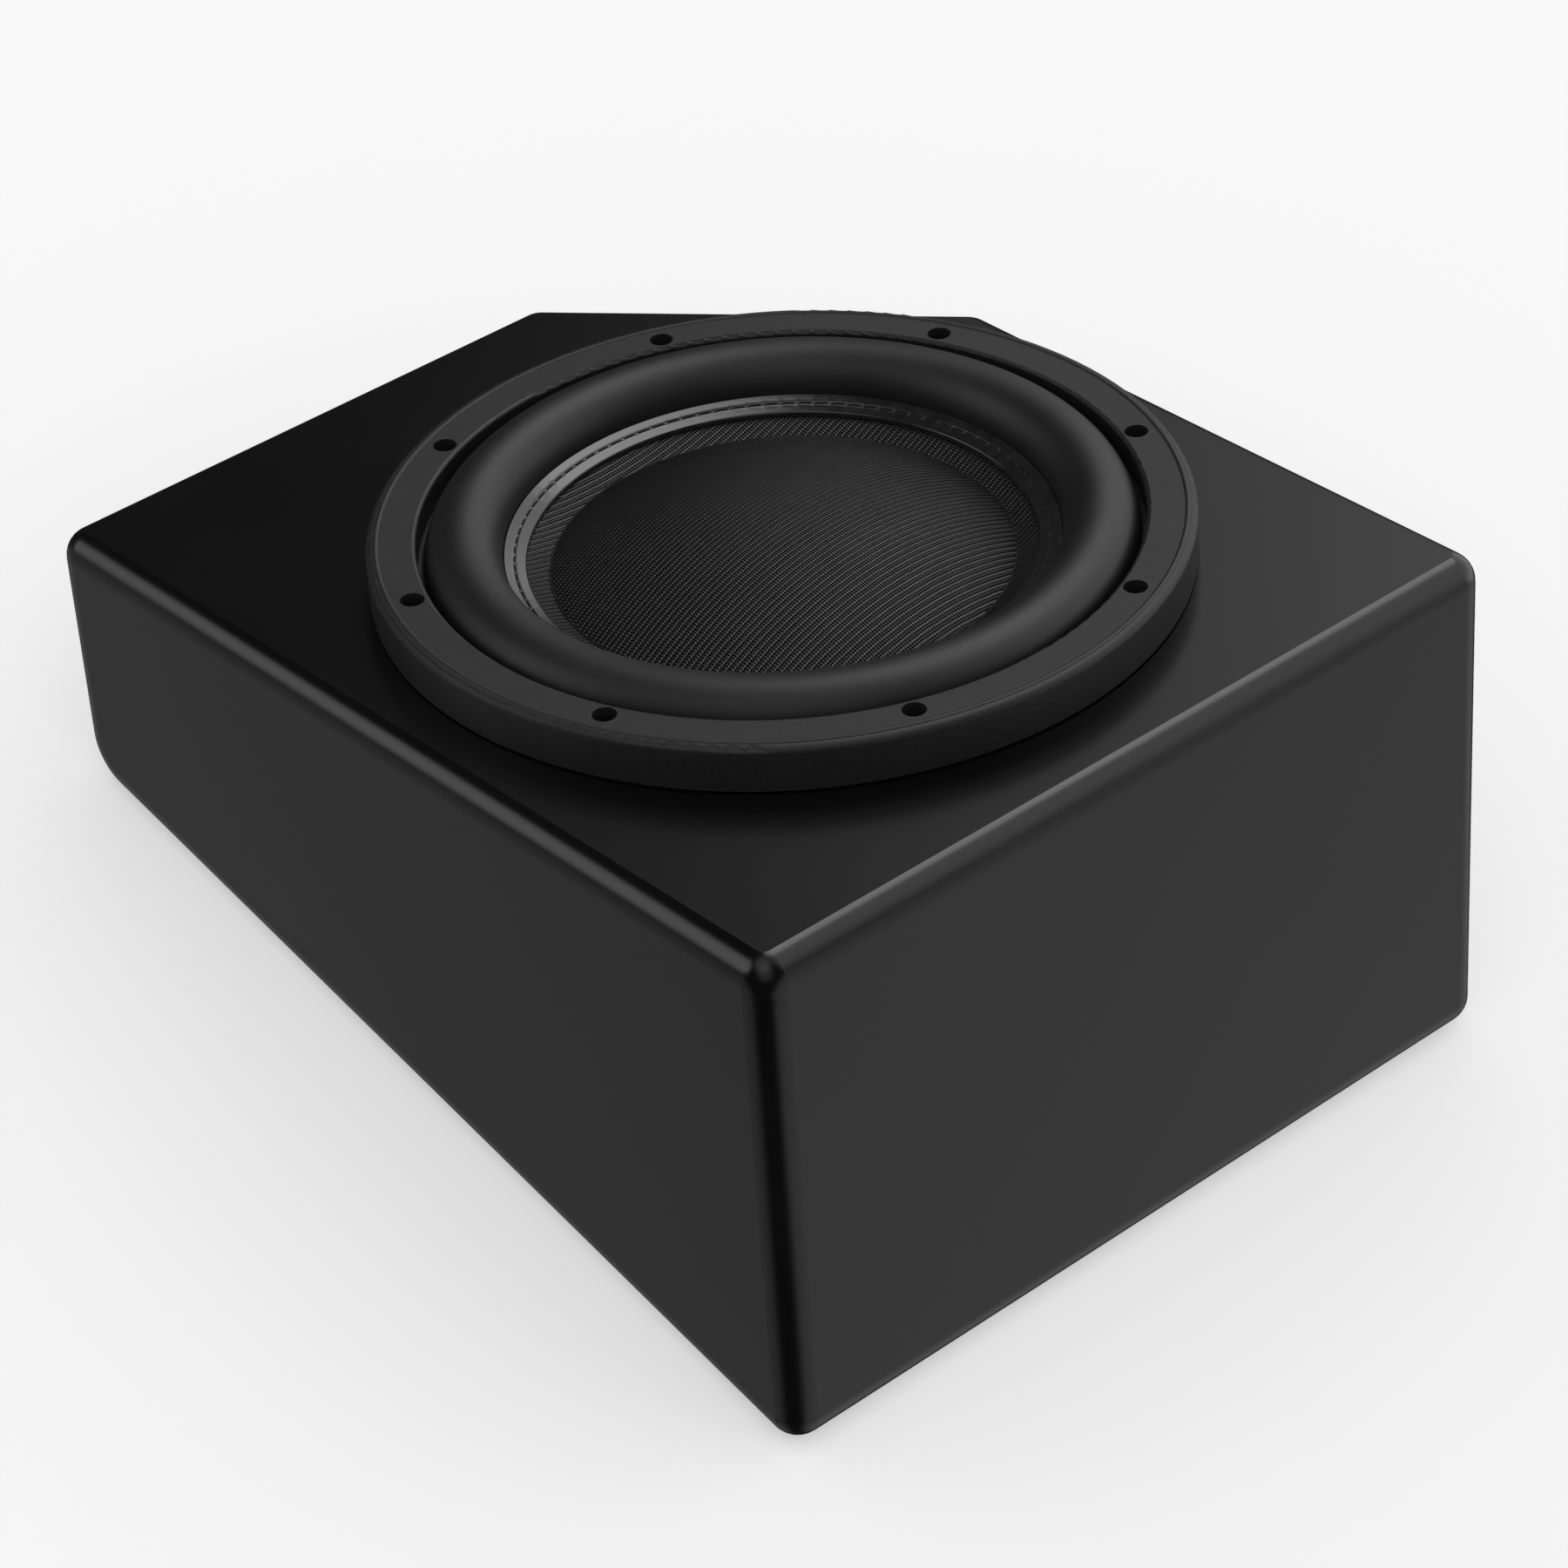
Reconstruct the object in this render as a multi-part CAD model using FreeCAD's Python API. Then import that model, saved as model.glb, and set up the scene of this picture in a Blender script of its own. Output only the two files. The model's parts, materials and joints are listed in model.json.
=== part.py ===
"""Wedge subwoofer enclosure with a shallow 12 inch driver, one solid per piece, in millimetres.

Three frames are used:
- cabinet frame: origin at the sharp front left corner of the baffle's outer face, x along the front,
  y towards the back, z straight out of the baffle. Walls stand at right angles to the baffle.
- driver frame: the cabinet frame moved to the driver's axis, so an outline is (r, z).
- corner frame: the driver frame turned so that x points at the corner panel, y along that panel.
Every piece is placed at the end into the row frame: bottom panel flat on z = 0, front towards -Y,
baffle sloping down to the back, origin under the middle of the cabinet.
"""
import FreeCAD, Part
import math
import os

from FreeCAD import Placement, Rotation
from FreeCAD import Vector as V

# ---- cabinet -------------------------------------------------------------------------------------
WIDTH = 380.0            # along the front
DEPTH = 434.0            # along the baffle, front to back
FRONT_HEIGHT = 230.0     # front wall, measured at right angles to the baffle
BACK_HEIGHT = 116.0
CORNER_CUT_X = 128.0     # the back right corner is cut off by a panel
CORNER_CUT_Y = 146.0
PANEL = 18.0             # board thickness
EDGE_ROUND = 12.0
EDGE_STEP = 0.4          # how far the round over cutter goes below the baffle's face
HEEL_ROUND = 25.0        # edge between the back and the bottom
GLUE_BLOCK_R = 20.0      # quarter round moulding in each upright corner
STIFFENER_Y = 96.0
STIFFENER_HEIGHT = 30.0
STIFFENER_END = 60.0     # its ends stop this far from the cabinet's sides
LINING = 12.0            # wadding on the walls
LINING_GAP = 0.3
LINING_TOP = 28.0        # the lining starts this far below the baffle's outer face
LINING_END = 24.0        # and stops this far from each inside corner

# ---- driver, radii from its axis, heights from the baffle's outer face ---------------------------
DRIVER_X = 190.0
DRIVER_Y = 201.0
CUTOUT_R = 142.0
BOLT_CIRCLE_R = 151.0
BOLTS = 8
BOLT_STEP = 360.0 / BOLTS
BOLT_START = BOLT_STEP / 2
GASKET = 2.0
FLANGE_R = 159.0
FLANGE_TOP = 6.5
LIP = 2.0                # outer lip of the surround, under the trim ring
LIP_R = 158.0
LIP_TOP = FLANGE_TOP + LIP

RING_R = 164.0
RING_INNER_R = 144.0
RING_TOP = 20.0
RING_GAP = 0.8           # shadow gap between the trim ring and the baffle
RING_ROUND = 3.0
RING_BEAD = 0.6          # raised bead around the top face
RING_BEAD_W = 2.2
RING_INNER_ROUND = 1.5
RING_SKIRT_R = FLANGE_R + 0.6
WELL_R = 4.85

ROLL_R = 126.0           # half roll of the surround
ROLL_MINOR_R = 15.5
ROLL_Z = 10.0
RUBBER = 2.0
INNER_LIP = 1.2          # inner lip of the surround, under the edge band
INNER_LIP_W = 1.5        # the band reaches this far inside that lip
CLEAR = 0.1              # glue line, and the gap around pieces that move

BAND_OUTER_R = 110.3     # stitched band over the joint between surround and cone
BAND_INNER_R = 101.5
BAND = 0.9
CAP_R = 92.5
CAP_RISE = 25.0
CAP_WALL = 1.0
CAP_RIM = 0.8            # height of the dome's outer side at the cap's rim
CONE_SLOPE = 8.0 / 18.5
CONE_WALL = 1.4
CONE_BEND_R = 86.0       # the cone gets steeper inside the dust cap
NECK_R = 46.0
NECK_Z = -28.0
NECK_END_Z = -34.0
SEAM_R = 106.0
SEAM_THREAD = 0.9

FORMER_INNER_R = 37.8
FORMER_R = 38.2
FORMER_TOP = -28.0
FORMER_BOTTOM = -92.0
COIL_R = 39.6
COIL_TOP = -60.0
COIL_BOTTOM = -90.0

SPIDER_Z = -43.2
SPIDER_WALL = 0.8
SPIDER_WAVE = 2.4
SPIDER_WAVES = 6
SPIDER_COLLAR_W = 4.0
SPIDER_COLLAR = 1.2      # the collar stands this far above and below the cloth
SPIDER_LEDGE_R = 105.5
LEDGE_INNER_R = 96.0

BASKET_WALL_R = 141.0
BASKET_WALL = 3.5
BASKET_BEND_Z = -13.0    # the basket's upright wall turns inwards here
BASKET_FOOT_R = 78.0
SPOKE_ANGLE = 11.0
UPPER_WINDOW = (100.0, 150.0, -39.0, -17.0)    # inner r, outer r, low z, high z
LOWER_WINDOW = (70.0, 110.0, -63.0, -53.0)
LEDGE_Z = -44.0
LEDGE = 4.0
FLOOR_TOP = -66.0
FLOOR_BOTTOM = -70.0
FLOOR_HOLE_R = 44.0

TOP_PLATE = 10.0
PLATE_R = 73.0
GAP_OUTER_R = 40.6
MAGNET = 15.0
MAGNET_R = 76.0
MAGNET_HOLE_R = 46.0
MAGNET_ROUND = 0.8
BACK_PLATE = 12.0
POLE_R = 37.0
POLE_TOP = -68.0
POLE_CAP_WALL = 0.8
POLE_CAP_HEIGHT = 16.0
VENT_R = 14.0
VENT_FLARE_R = 20.0
VENT_CHAMFER = 3.0
SCREEN = 0.8
SCREEN_DEPTH = 6.0       # its underside, below the pole's tip
SCREEN_HOLE_R = 1.4
SCREEN_HOLE_STEP = 5.0
BOOT = 2.2
BOOT_GAP = 0.2
BOOT_HOLE_R = 30.0
BOOT_ROUND = 4.0
MOTOR_SCREWS = 4
MOTOR_SCREW_R = 62.0

# ---- screws --------------------------------------------------------------------------------------
M5_SHANK_R = 2.45
M5_THREAD_HOLE_R = 2.5
M5_CLEAR_HOLE_R = 2.9
M5_HEAD_R = 4.25
M5_HEAD = 5.0
M5_SOCKET = 4.0          # across flats
DRIVER_SCREW_LENGTH = 30.0
MOTOR_SCREW_LENGTH = 12.0
TEE_BARREL_R = 3.3
TEE_HOLE_R = 3.4
TEE_BARREL = 10.0
TEE_FLANGE_R = 8.0
TEE_FLANGE = 1.5

# ---- terminal cup, in the corner panel -----------------------------------------------------------
CUP_Z = -64.0            # centre, below the baffle's outer face
CUP_PLATE_W = 84.0
CUP_PLATE_H = 58.0
CUP_PLATE = 3.0
CUP_CORNER_R = 6.0
CUP_BODY_W = 63.0
CUP_BODY_H = 39.0
CUP_WALL = 2.5
CUP_DEPTH = 20.0
CUP_HOLE_W = 64.0
CUP_HOLE_H = 40.0
CUP_GASKET = 0.8
CUP_SCREW_W = 74.0
CUP_SCREW_H = 48.0
CUP_SCREW_R = 1.7
CUP_SCREW_HEAD_R = 3.4
CUP_SCREW_HEAD = 2.2
CUP_SCREW_LENGTH = 16.0
BAY_Y = 14.5             # each push lever sits this far from the cup's middle
PIVOT_Z = 11.0           # lever pivot above the cup's middle
PIVOT_DEPTH = 2.0        # and behind the panel's outer face
ROD_R = 1.0
ROD_HOLE_R = 1.05
LEVER_W = 24.0
LEVER_BARREL_R = 3.2
LEVER_LENGTH = 18.5
LEVER_BACK = 2.5         # the tongue behind and in front of the pivot's centre
LEVER_FRONT = 2.6
LEVER_RIDGES = 3
LEVER_RIDGE_R = 0.9
LEVER_RIDGE_STEP = 2.6
LEVER_RIDGE_START = 1.6
STRIP = 0.8
STRIP_HALF_W = 4.0
STRIP_HALF_H = 8.0
SPRING_WIRE_R = 0.28
SPRING_COIL_R = 2.0
SPRING_TURNS = 3.0
SPRING_PITCH = 0.62
CROSS_LONG = 2.0         # half length and half width of the cup screws' cross slots
CROSS_WIDE = 0.45
WIRE_HOLE_R = 2.2
WIRE_HOLE_DROP = 12.5    # below the cup's middle
SILL_DROP = 8.5
SILL_DEPTH = 9.0
TAB_W = 4.8
TAB = 0.8
TAB_LENGTH = 10.0
SLEEVE_W = 7.0
SLEEVE_H = 3.4
SLEEVE_LENGTH = 12.5
SLEEVE_ROUND = 0.9
WIRE_R = 1.8
WIRE_SAG = 34.0
BOARD_W = 30.0
BOARD = 2.5
BOARD_TOP = -47.0
BOARD_BOTTOM = -60.0
BOARD_TAB_Y = 8.0
BOARD_TAB_Z = -52.0
LEAD_R = 0.9
LEAD_POINTS = ((70.0, 0.8, -31.0), (102.0, 1.0, -37.0))    # r, share of the tab's y, z
LEAD_START_Z = -37.5
LEAD_NOTCH_W = 24.0      # notch in the basket where the flexible leads leave it
LEAD_NOTCH_TOP = -38.0

# ---- worked out from the sizes above -------------------------------------------------------------
TILT = math.degrees(math.atan2(FRONT_HEIGHT - BACK_HEIGHT, DEPTH))
SIN = math.sin(math.radians(TILT))
COS = math.cos(math.radians(TILT))
CUT_LENGTH = math.hypot(CORNER_CUT_X, CORNER_CUT_Y)
CUT_NORMAL = (CORNER_CUT_Y / CUT_LENGTH, CORNER_CUT_X / CUT_LENGTH)
CUT_OFFSET = CUT_NORMAL[0] * WIDTH + CUT_NORMAL[1] * (DEPTH - CORNER_CUT_Y)
CORNER_ANGLE = math.degrees(math.atan2(CUT_NORMAL[1], CUT_NORMAL[0]))
CORNER_R = CUT_OFFSET - CUT_NORMAL[0] * DRIVER_X - CUT_NORMAL[1] * DRIVER_Y
CUP_Y = (
    -CUT_NORMAL[1] * (WIDTH - CORNER_CUT_X / 2 - DRIVER_X)
    + CUT_NORMAL[0] * (DEPTH - CORNER_CUT_Y / 2 - DRIVER_Y)
)
CUP_FLOOR = CORNER_R - CUP_DEPTH
PIVOT_X = CORNER_R - PIVOT_DEPTH
TOP_PLATE_BOTTOM = FLOOR_BOTTOM - TOP_PLATE
MAGNET_SEAM = TOP_PLATE_BOTTOM - MAGNET
BACK_PLATE_TOP = MAGNET_SEAM - MAGNET
BACK_PLATE_BOTTOM = BACK_PLATE_TOP - BACK_PLATE
FAR = 1000.0             # longer than anything in the cabinet

FRONT_REACH = EDGE_ROUND / math.tan(math.radians((90.0 - TILT) / 2)) - EDGE_ROUND
FRONT_Y = -FRONT_HEIGHT * SIN + FRONT_REACH
BACK_Y = (DEPTH - EDGE_ROUND) * COS - (EDGE_ROUND - EDGE_STEP) * SIN + EDGE_ROUND
ROW = Placement(
    V(-WIDTH / 2, -(FRONT_Y + BACK_Y) / 2, FRONT_HEIGHT * COS),
    Rotation(V(1, 0, 0), -TILT),
)
DRIVER = Placement(V(DRIVER_X, DRIVER_Y, 0), Rotation())
CORNER = Placement(V(DRIVER_X, DRIVER_Y, 0), Rotation(V(0, 0, 1), CORNER_ANGLE))
CABINET = Placement()


# ---- general helpers -----------------------------------------------------------------------------
def save(name, shape, frame):
    """Place a shape from its own frame into the row frame and write it."""
    placed = shape.copy()
    placed.Placement = ROW.multiply(frame).multiply(placed.Placement)
    placed.exportStep("parts/" + name + ".step")


def box(low, high):
    """A box between two opposite corners."""
    size = V(*high) - V(*low)
    return Part.makeBox(size.x, size.y, size.z, V(*low))


def rod(r, low, high, x=0.0, y=0.0):
    """An upright round bar from z = low to z = high."""
    return Part.makeCylinder(r, high - low, V(x, y, low))


def rod_x(r, low, high, y, z):
    """A round bar along x."""
    return Part.makeCylinder(r, high - low, V(low, y, z), V(1, 0, 0))


def rod_y(r, low, high, x, z):
    """A round bar along y."""
    return Part.makeCylinder(r, high - low, V(x, low, z), V(0, 1, 0))


def profile(start, *steps):
    """A closed (r, z) face. A step is an end point, or a (middle, end) pair for an arc."""
    edges = []
    here = V(start[0], 0, start[1])
    for step in steps + (start,):
        if isinstance(step[0], tuple):
            middle = V(step[0][0], 0, step[0][1])
            end = V(step[1][0], 0, step[1][1])
            edges.append(Part.Arc(here, middle, end).toShape())
        else:
            end = V(step[0], 0, step[1])
            if (end - here).Length > 1e-6:
                edges.append(Part.makeLine(here, end))
        here = end
    return Part.Face(Part.Wire(edges))


def turned(face, angle=360.0, start=0.0):
    """A solid turned about the z axis from an (r, z) face."""
    solid = face.revolve(V(), V(0, 0, 1), angle)
    solid.rotate(V(), V(0, 0, 1), start)
    return solid


def tube(outer, inner, low, high):
    """A plain round sleeve."""
    return turned(profile((inner, low), (outer, low), (outer, high), (inner, high)))


def around(shape, radius, count, start):
    """Copies of a shape built on the z axis, moved out to a circle."""
    copies = []
    for index in range(count):
        angle = math.radians(start + 360.0 * index / count)
        copy = shape.copy()
        copy.translate(V(radius * math.cos(angle), radius * math.sin(angle), 0))
        copies.append(copy)
    return copies


def swept(points, r, first, last):
    """A round cord through a list of points, with chosen directions at its ends."""
    curve = Part.BSplineCurve()
    curve.interpolate(Points=[V(*p) for p in points], InitialTangent=first, FinalTangent=last)
    path = Part.Wire(curve.toShape())
    direction = curve.tangent(curve.FirstParameter)[0]
    circle = Part.Wire(Part.makeCircle(r, V(*points[0]), direction))
    return path.makePipeShell([circle], True, True)


# ---- cabinet boards ------------------------------------------------------------------------------
def plan(inset):
    """The cabinet's plan, every side moved in by inset, as five corner points."""
    right = WIDTH - inset
    back = DEPTH - inset
    cut = CUT_OFFSET - inset
    cut_y = (cut - CUT_NORMAL[0] * right) / CUT_NORMAL[1]
    cut_x = (cut - CUT_NORMAL[1] * back) / CUT_NORMAL[0]
    return [(inset, inset), (right, inset), (right, cut_y), (cut_x, back), (inset, back)]


def upright(points, low=-FAR, high=0.0):
    """A prism standing on plan points."""
    corners = [V(x, y, low) for x, y in points]
    face = Part.Face(Part.makePolygon(corners + corners[:1]))
    return face.extrude(V(0, 0, high - low))


def bottom_z(y, inset):
    """Height of the sloping bottom at y, moved in by inset at right angles to itself."""
    return -FRONT_HEIGHT + y * SIN / COS + inset / COS


def above_bottom(inset):
    """Everything above the sloping bottom, moved in by inset."""
    corners = [
        V(-FAR, -FAR, bottom_z(-FAR, inset)),
        V(-FAR, FAR, bottom_z(FAR, inset)),
        V(-FAR, FAR, FAR),
        V(-FAR, -FAR, FAR),
    ]
    return Part.Face(Part.makePolygon(corners + corners[:1])).extrude(V(2 * FAR, 0, 0))


def heel_cut():
    """What the large round between the back and the bottom takes away."""
    inner_angle = math.radians((90.0 + TILT) / 2)
    reach = HEEL_ROUND / math.tan(inner_angle)
    corner = V(-FAR, DEPTH, -BACK_HEIGHT)
    up = corner + V(0, 0, reach)
    along = corner - V(0, reach * COS, reach * SIN)
    centre = up - V(0, HEEL_ROUND, 0)
    middle = centre + (corner - centre).normalize() * HEEL_ROUND
    outside = 5.0
    beyond = [
        up + V(0, outside, 0),
        corner + V(0, outside, -outside),
        along + V(0, outside * SIN, -outside * COS),
    ]
    edges = [Part.Arc(along, middle, up).toShape()]
    path = [up] + beyond + [along]
    edges += [Part.makeLine(a, b) for a, b in zip(path, path[1:])]
    return Part.Face(Part.Wire(edges)).extrude(V(2 * FAR, 0, 0))


def block(inset, rise=0.0):
    """The cabinet as a sharp-edged block, every face moved in by inset, then the top up by rise."""
    return upright(plan(inset), high=rise - inset).common(above_bottom(inset))


def is_sharp(solid, edge):
    """True where the two faces at an edge meet at an angle."""
    middle = edge.valueAt((edge.FirstParameter + edge.LastParameter) / 2)
    normals = []
    for face in solid.ancestorsOfType(edge, Part.Face):
        u, v = face.Surface.parameter(middle)
        normals.append(face.normalAt(u, v))
    return len(normals) == 2 and normals[0].dot(normals[1]) < 0.99


def shell():
    """The hollow cabinet with all its outside edges rounded, before it is parted into boards."""
    solid = block(0.0, EDGE_STEP).cut(heel_cut()).Solids[0]
    edges = [edge for edge in solid.Edges if is_sharp(solid, edge)]
    rounded = solid.makeFillet(EDGE_ROUND, edges).common(upright(plan(-PANEL)))
    return rounded.cut(block(PANEL))


def baffle(hollow):
    """The top board, with the driver cut-out and the tee nut holes."""
    board = hollow.common(upright(plan(-PANEL), low=-PANEL, high=PANEL))
    holes = [rod(CUTOUT_R, -FAR, FAR)] + bolt_holes(TEE_HOLE_R)
    for hole in holes:
        hole.translate(V(DRIVER_X, DRIVER_Y, 0))
    return board.cut(holes)


def wall(hollow, points):
    """One upright board: the part of the shell over plan points, between baffle and bottom."""
    return hollow.common(upright(points, high=-PANEL)).common(above_bottom(PANEL))


def corner_board(hollow, outer, inner):
    """The board across the cut corner, with the terminal cup's hole and its screw holes."""
    board = wall(hollow, [outer[2], outer[3], inner[3], inner[2]])
    cutters = [
        box(
            (CORNER_R - FAR, CUP_Y - CUP_HOLE_W / 2, CUP_Z - CUP_HOLE_H / 2),
            (CORNER_R + FAR, CUP_Y + CUP_HOLE_W / 2, CUP_Z + CUP_HOLE_H / 2),
        )
    ]
    hole_depth = CUP_SCREW_LENGTH + 1.0
    for y, z in cup_screw_places():
        cutters.append(rod_x(CUP_SCREW_R + 0.05, CORNER_R - hole_depth, CORNER_R + 1.0, y, z))
    for cutter in cutters:
        cutter.Placement = CORNER.multiply(cutter.Placement)
    return board.cut(cutters)


def boards():
    """All seven boards, by name."""
    hollow = shell()
    outer = plan(0.0)
    inner = plan(PANEL)
    return {
        "top_baffle": baffle(hollow),
        "bottom_panel": hollow.cut(above_bottom(PANEL)),
        "front_panel": wall(hollow, [(0, 0), (WIDTH, 0), (WIDTH, PANEL), (0, PANEL)]),
        "left_panel": wall(hollow, [(0, PANEL), inner[0], inner[4], (0, DEPTH - PANEL)]),
        "right_panel": wall(hollow, [(WIDTH, PANEL), outer[2], inner[2], inner[1]]),
        "back_panel": wall(hollow, [(0, DEPTH - PANEL), inner[3], outer[3], outer[4]]),
        "corner_panel": corner_board(hollow, outer, inner),
    }


def glue_blocks():
    """Quarter round mouldings glued into the five upright corners."""
    cavity = block(PANEL)
    posts = [rod(GLUE_BLOCK_R, -FAR, 0.0, x, y) for x, y in plan(PANEL)]
    return Part.makeCompound([post.common(cavity).Solids[0] for post in posts])


def bottom_stiffener():
    """A batten across the bottom board, in front of the magnet."""
    slice_box = box(
        (STIFFENER_END, STIFFENER_Y, -FAR),
        (WIDTH - STIFFENER_END, STIFFENER_Y + PANEL, 0.0),
    )
    return slice_box.common(above_bottom(PANEL)).cut(above_bottom(PANEL + STIFFENER_HEIGHT))


def lining():
    """Wadding pads on the front, left, right and back walls, clear of the corner mouldings."""
    near = PANEL + LINING_GAP
    thick = near + LINING
    end = PANEL + LINING_END
    cut_y = plan(PANEL)[2][1]
    cut_x = plan(PANEL)[3][0]
    places = [
        ((end, near), (WIDTH - end, thick)),
        ((near, end), (thick, DEPTH - end)),
        ((WIDTH - thick, end), (WIDTH - near, cut_y - LINING_END)),
        ((end, DEPTH - thick), (cut_x - LINING_END, DEPTH - near)),
    ]
    pads = []
    for low, high in places:
        pad = box(low + (-FAR,), high + (-LINING_TOP,)).common(above_bottom(near + 1.0))
        pads.append(pad.Solids[0])
    return Part.makeCompound(pads)


# ---- screws --------------------------------------------------------------------------------------
def socket_screw(shank_r, head_r, head, length, top):
    """A socket head cap screw hanging down from its seat at z = top."""
    screw = rod(shank_r, top - length, top).fuse(rod(head_r, top, top + head))
    corners = []
    for index in range(7):
        angle = math.radians(60.0 * index)
        reach = M5_SOCKET / math.sqrt(3.0)
        corners.append(V(reach * math.cos(angle), reach * math.sin(angle), top + head / 2))
    socket = Part.Face(Part.makePolygon(corners)).extrude(V(0, 0, head))
    return screw.cut(socket)


def driver_screws():
    """The screws at the bottom of the trim ring's wells."""
    screw = socket_screw(M5_SHANK_R, M5_HEAD_R, M5_HEAD, DRIVER_SCREW_LENGTH, FLANGE_TOP)
    return Part.makeCompound(around(screw, BOLT_CIRCLE_R, BOLTS, BOLT_START))


def tee_nuts():
    """Tee nuts pressed into the underside of the baffle."""
    nut = turned(profile(
        (M5_THREAD_HOLE_R, -PANEL - TEE_FLANGE),
        (TEE_FLANGE_R, -PANEL - TEE_FLANGE),
        (TEE_FLANGE_R, -PANEL),
        (TEE_BARREL_R, -PANEL),
        (TEE_BARREL_R, -PANEL + TEE_BARREL),
        (M5_THREAD_HOLE_R, -PANEL + TEE_BARREL),
    ))
    return Part.makeCompound(around(nut, BOLT_CIRCLE_R, BOLTS, BOLT_START))


def motor_screws():
    """Screws through the basket's floor into the top plate."""
    screw = socket_screw(M5_SHANK_R, M5_HEAD_R, M5_HEAD, MOTOR_SCREW_LENGTH, FLOOR_TOP)
    return Part.makeCompound(around(screw, MOTOR_SCREW_R, MOTOR_SCREWS, BOLT_START))


# ---- driver: parts that stay still ---------------------------------------------------------------
def bolt_holes(r):
    """Cutters for the driver's bolt circle."""
    return around(rod(r, -FAR, FAR), BOLT_CIRCLE_R, BOLTS, BOLT_START)


def driver_gasket():
    """Foam ring between the flange and the baffle."""
    ring = tube(FLANGE_R - 1.0, CUTOUT_R + 1.0, 0.0, GASKET)
    return ring.cut(bolt_holes(TEE_HOLE_R))


def basket():
    """Cast frame: flange, spoked cone, spider ledge and the floor that carries the motor."""
    wall_in = BASKET_WALL_R - BASKET_WALL
    step = BASKET_WALL * math.sqrt(0.5)
    ledge_r = SPIDER_LEDGE_R + 1.0
    under = LEDGE_Z - 1.5 * LEDGE
    frame = turned(profile(
        (FLANGE_R, GASKET),
        (FLANGE_R, FLANGE_TOP),
        (wall_in, FLANGE_TOP),
        (wall_in, BASKET_BEND_Z),
        (ledge_r, LEDGE_Z),
        (LEDGE_INNER_R, LEDGE_Z),
        (LEDGE_INNER_R, LEDGE_Z - LEDGE),
        (BASKET_FOOT_R, FLOOR_TOP),
        (FLOOR_HOLE_R, FLOOR_TOP),
        (FLOOR_HOLE_R, FLOOR_BOTTOM),
        (BASKET_FOOT_R + BASKET_WALL, FLOOR_BOTTOM),
        (LEDGE_INNER_R + 2 * step, under),
        (ledge_r + step, under),
        (ledge_r + step, LEDGE_Z - step),
        (BASKET_WALL_R, BASKET_BEND_Z - step / 2),
        (BASKET_WALL_R, GASKET),
    ))
    screw_hole = rod(M5_CLEAR_HOLE_R, FLOOR_BOTTOM - 1, FLOOR_TOP + 1)
    cutters = bolt_holes(M5_CLEAR_HOLE_R) + [lead_notch()]
    cutters += around(screw_hole, MOTOR_SCREW_R, MOTOR_SCREWS, BOLT_START)
    for index in range(BOLTS):
        for window in (UPPER_WINDOW, LOWER_WINDOW):
            cutters.append(basket_window(window, index))
    return frame.cut(cutters)


def basket_window(window, index):
    """Cutter for one opening between two spokes."""
    near, far, low, high = window
    opening = BOLT_STEP - SPOKE_ANGLE
    face = profile((near, low), (far, low), (far, high), (near, high))
    return turned(face, opening, BOLT_STEP * index - opening / 2)


def lead_notch():
    """Cutter that lets the flexible leads out of the basket."""
    near = SPIDER_LEDGE_R + 1.4
    half = LEAD_NOTCH_W / 2
    notch = box((near, -half, LEDGE_Z - 2.0), (near + 18.0, half, LEAD_NOTCH_TOP))
    notch.rotate(V(), V(0, 0, 1), CORNER_ANGLE)
    return notch


def trim_ring():
    """Moulded rubber ring over the flange, with a skirt around it and a well over each screw."""
    bead_r = RING_R - RING_ROUND - RING_BEAD_W
    diagonal = RING_ROUND * math.sqrt(0.5)
    soft = RING_INNER_ROUND * (1 - math.sqrt(0.5))
    shoulder = (RING_R - RING_ROUND + diagonal, RING_TOP - RING_ROUND + diagonal)
    face = profile(
        (RING_SKIRT_R, RING_GAP),
        (RING_R, RING_GAP),
        (RING_R, RING_TOP - RING_ROUND),
        (shoulder, (RING_R - RING_ROUND, RING_TOP)),
        ((bead_r + RING_BEAD_W / 2, RING_TOP + RING_BEAD), (bead_r, RING_TOP)),
        (RING_INNER_R + RING_INNER_ROUND, RING_TOP),
        ((RING_INNER_R + soft, RING_TOP - soft), (RING_INNER_R, RING_TOP - RING_INNER_ROUND)),
        (RING_INNER_R, LIP_TOP),
        (RING_SKIRT_R, LIP_TOP),
    )
    return turned(face).cut(bolt_holes(WELL_R))


def surround():
    """Rubber half roll with its outer lip on the flange and its inner lip on the cone's edge."""
    inner_minor = ROLL_MINOR_R - RUBBER
    foot_in = ROLL_R - ROLL_MINOR_R
    foot_low = foot_in + RUBBER
    lip_r = BAND_INNER_R + INNER_LIP_W
    face = profile(
        (LIP_R, FLANGE_TOP),
        (LIP_R, LIP_TOP),
        (ROLL_R + ROLL_MINOR_R, LIP_TOP),
        (ROLL_R + ROLL_MINOR_R, ROLL_Z),
        ((ROLL_R, ROLL_Z + ROLL_MINOR_R), (foot_in, ROLL_Z)),
        (foot_in, cone_top(BAND_OUTER_R) + CLEAR + INNER_LIP),
        (lip_r, cone_top(lip_r) + CLEAR + INNER_LIP),
        (lip_r, cone_top(lip_r) + CLEAR),
        (foot_low, cone_top(foot_low) + CLEAR),
        (foot_low, ROLL_Z),
        ((ROLL_R, ROLL_Z + inner_minor), (ROLL_R + inner_minor, ROLL_Z)),
        (ROLL_R + inner_minor, FLANGE_TOP),
    )
    return turned(face).cut(bolt_holes(WELL_R))


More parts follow.
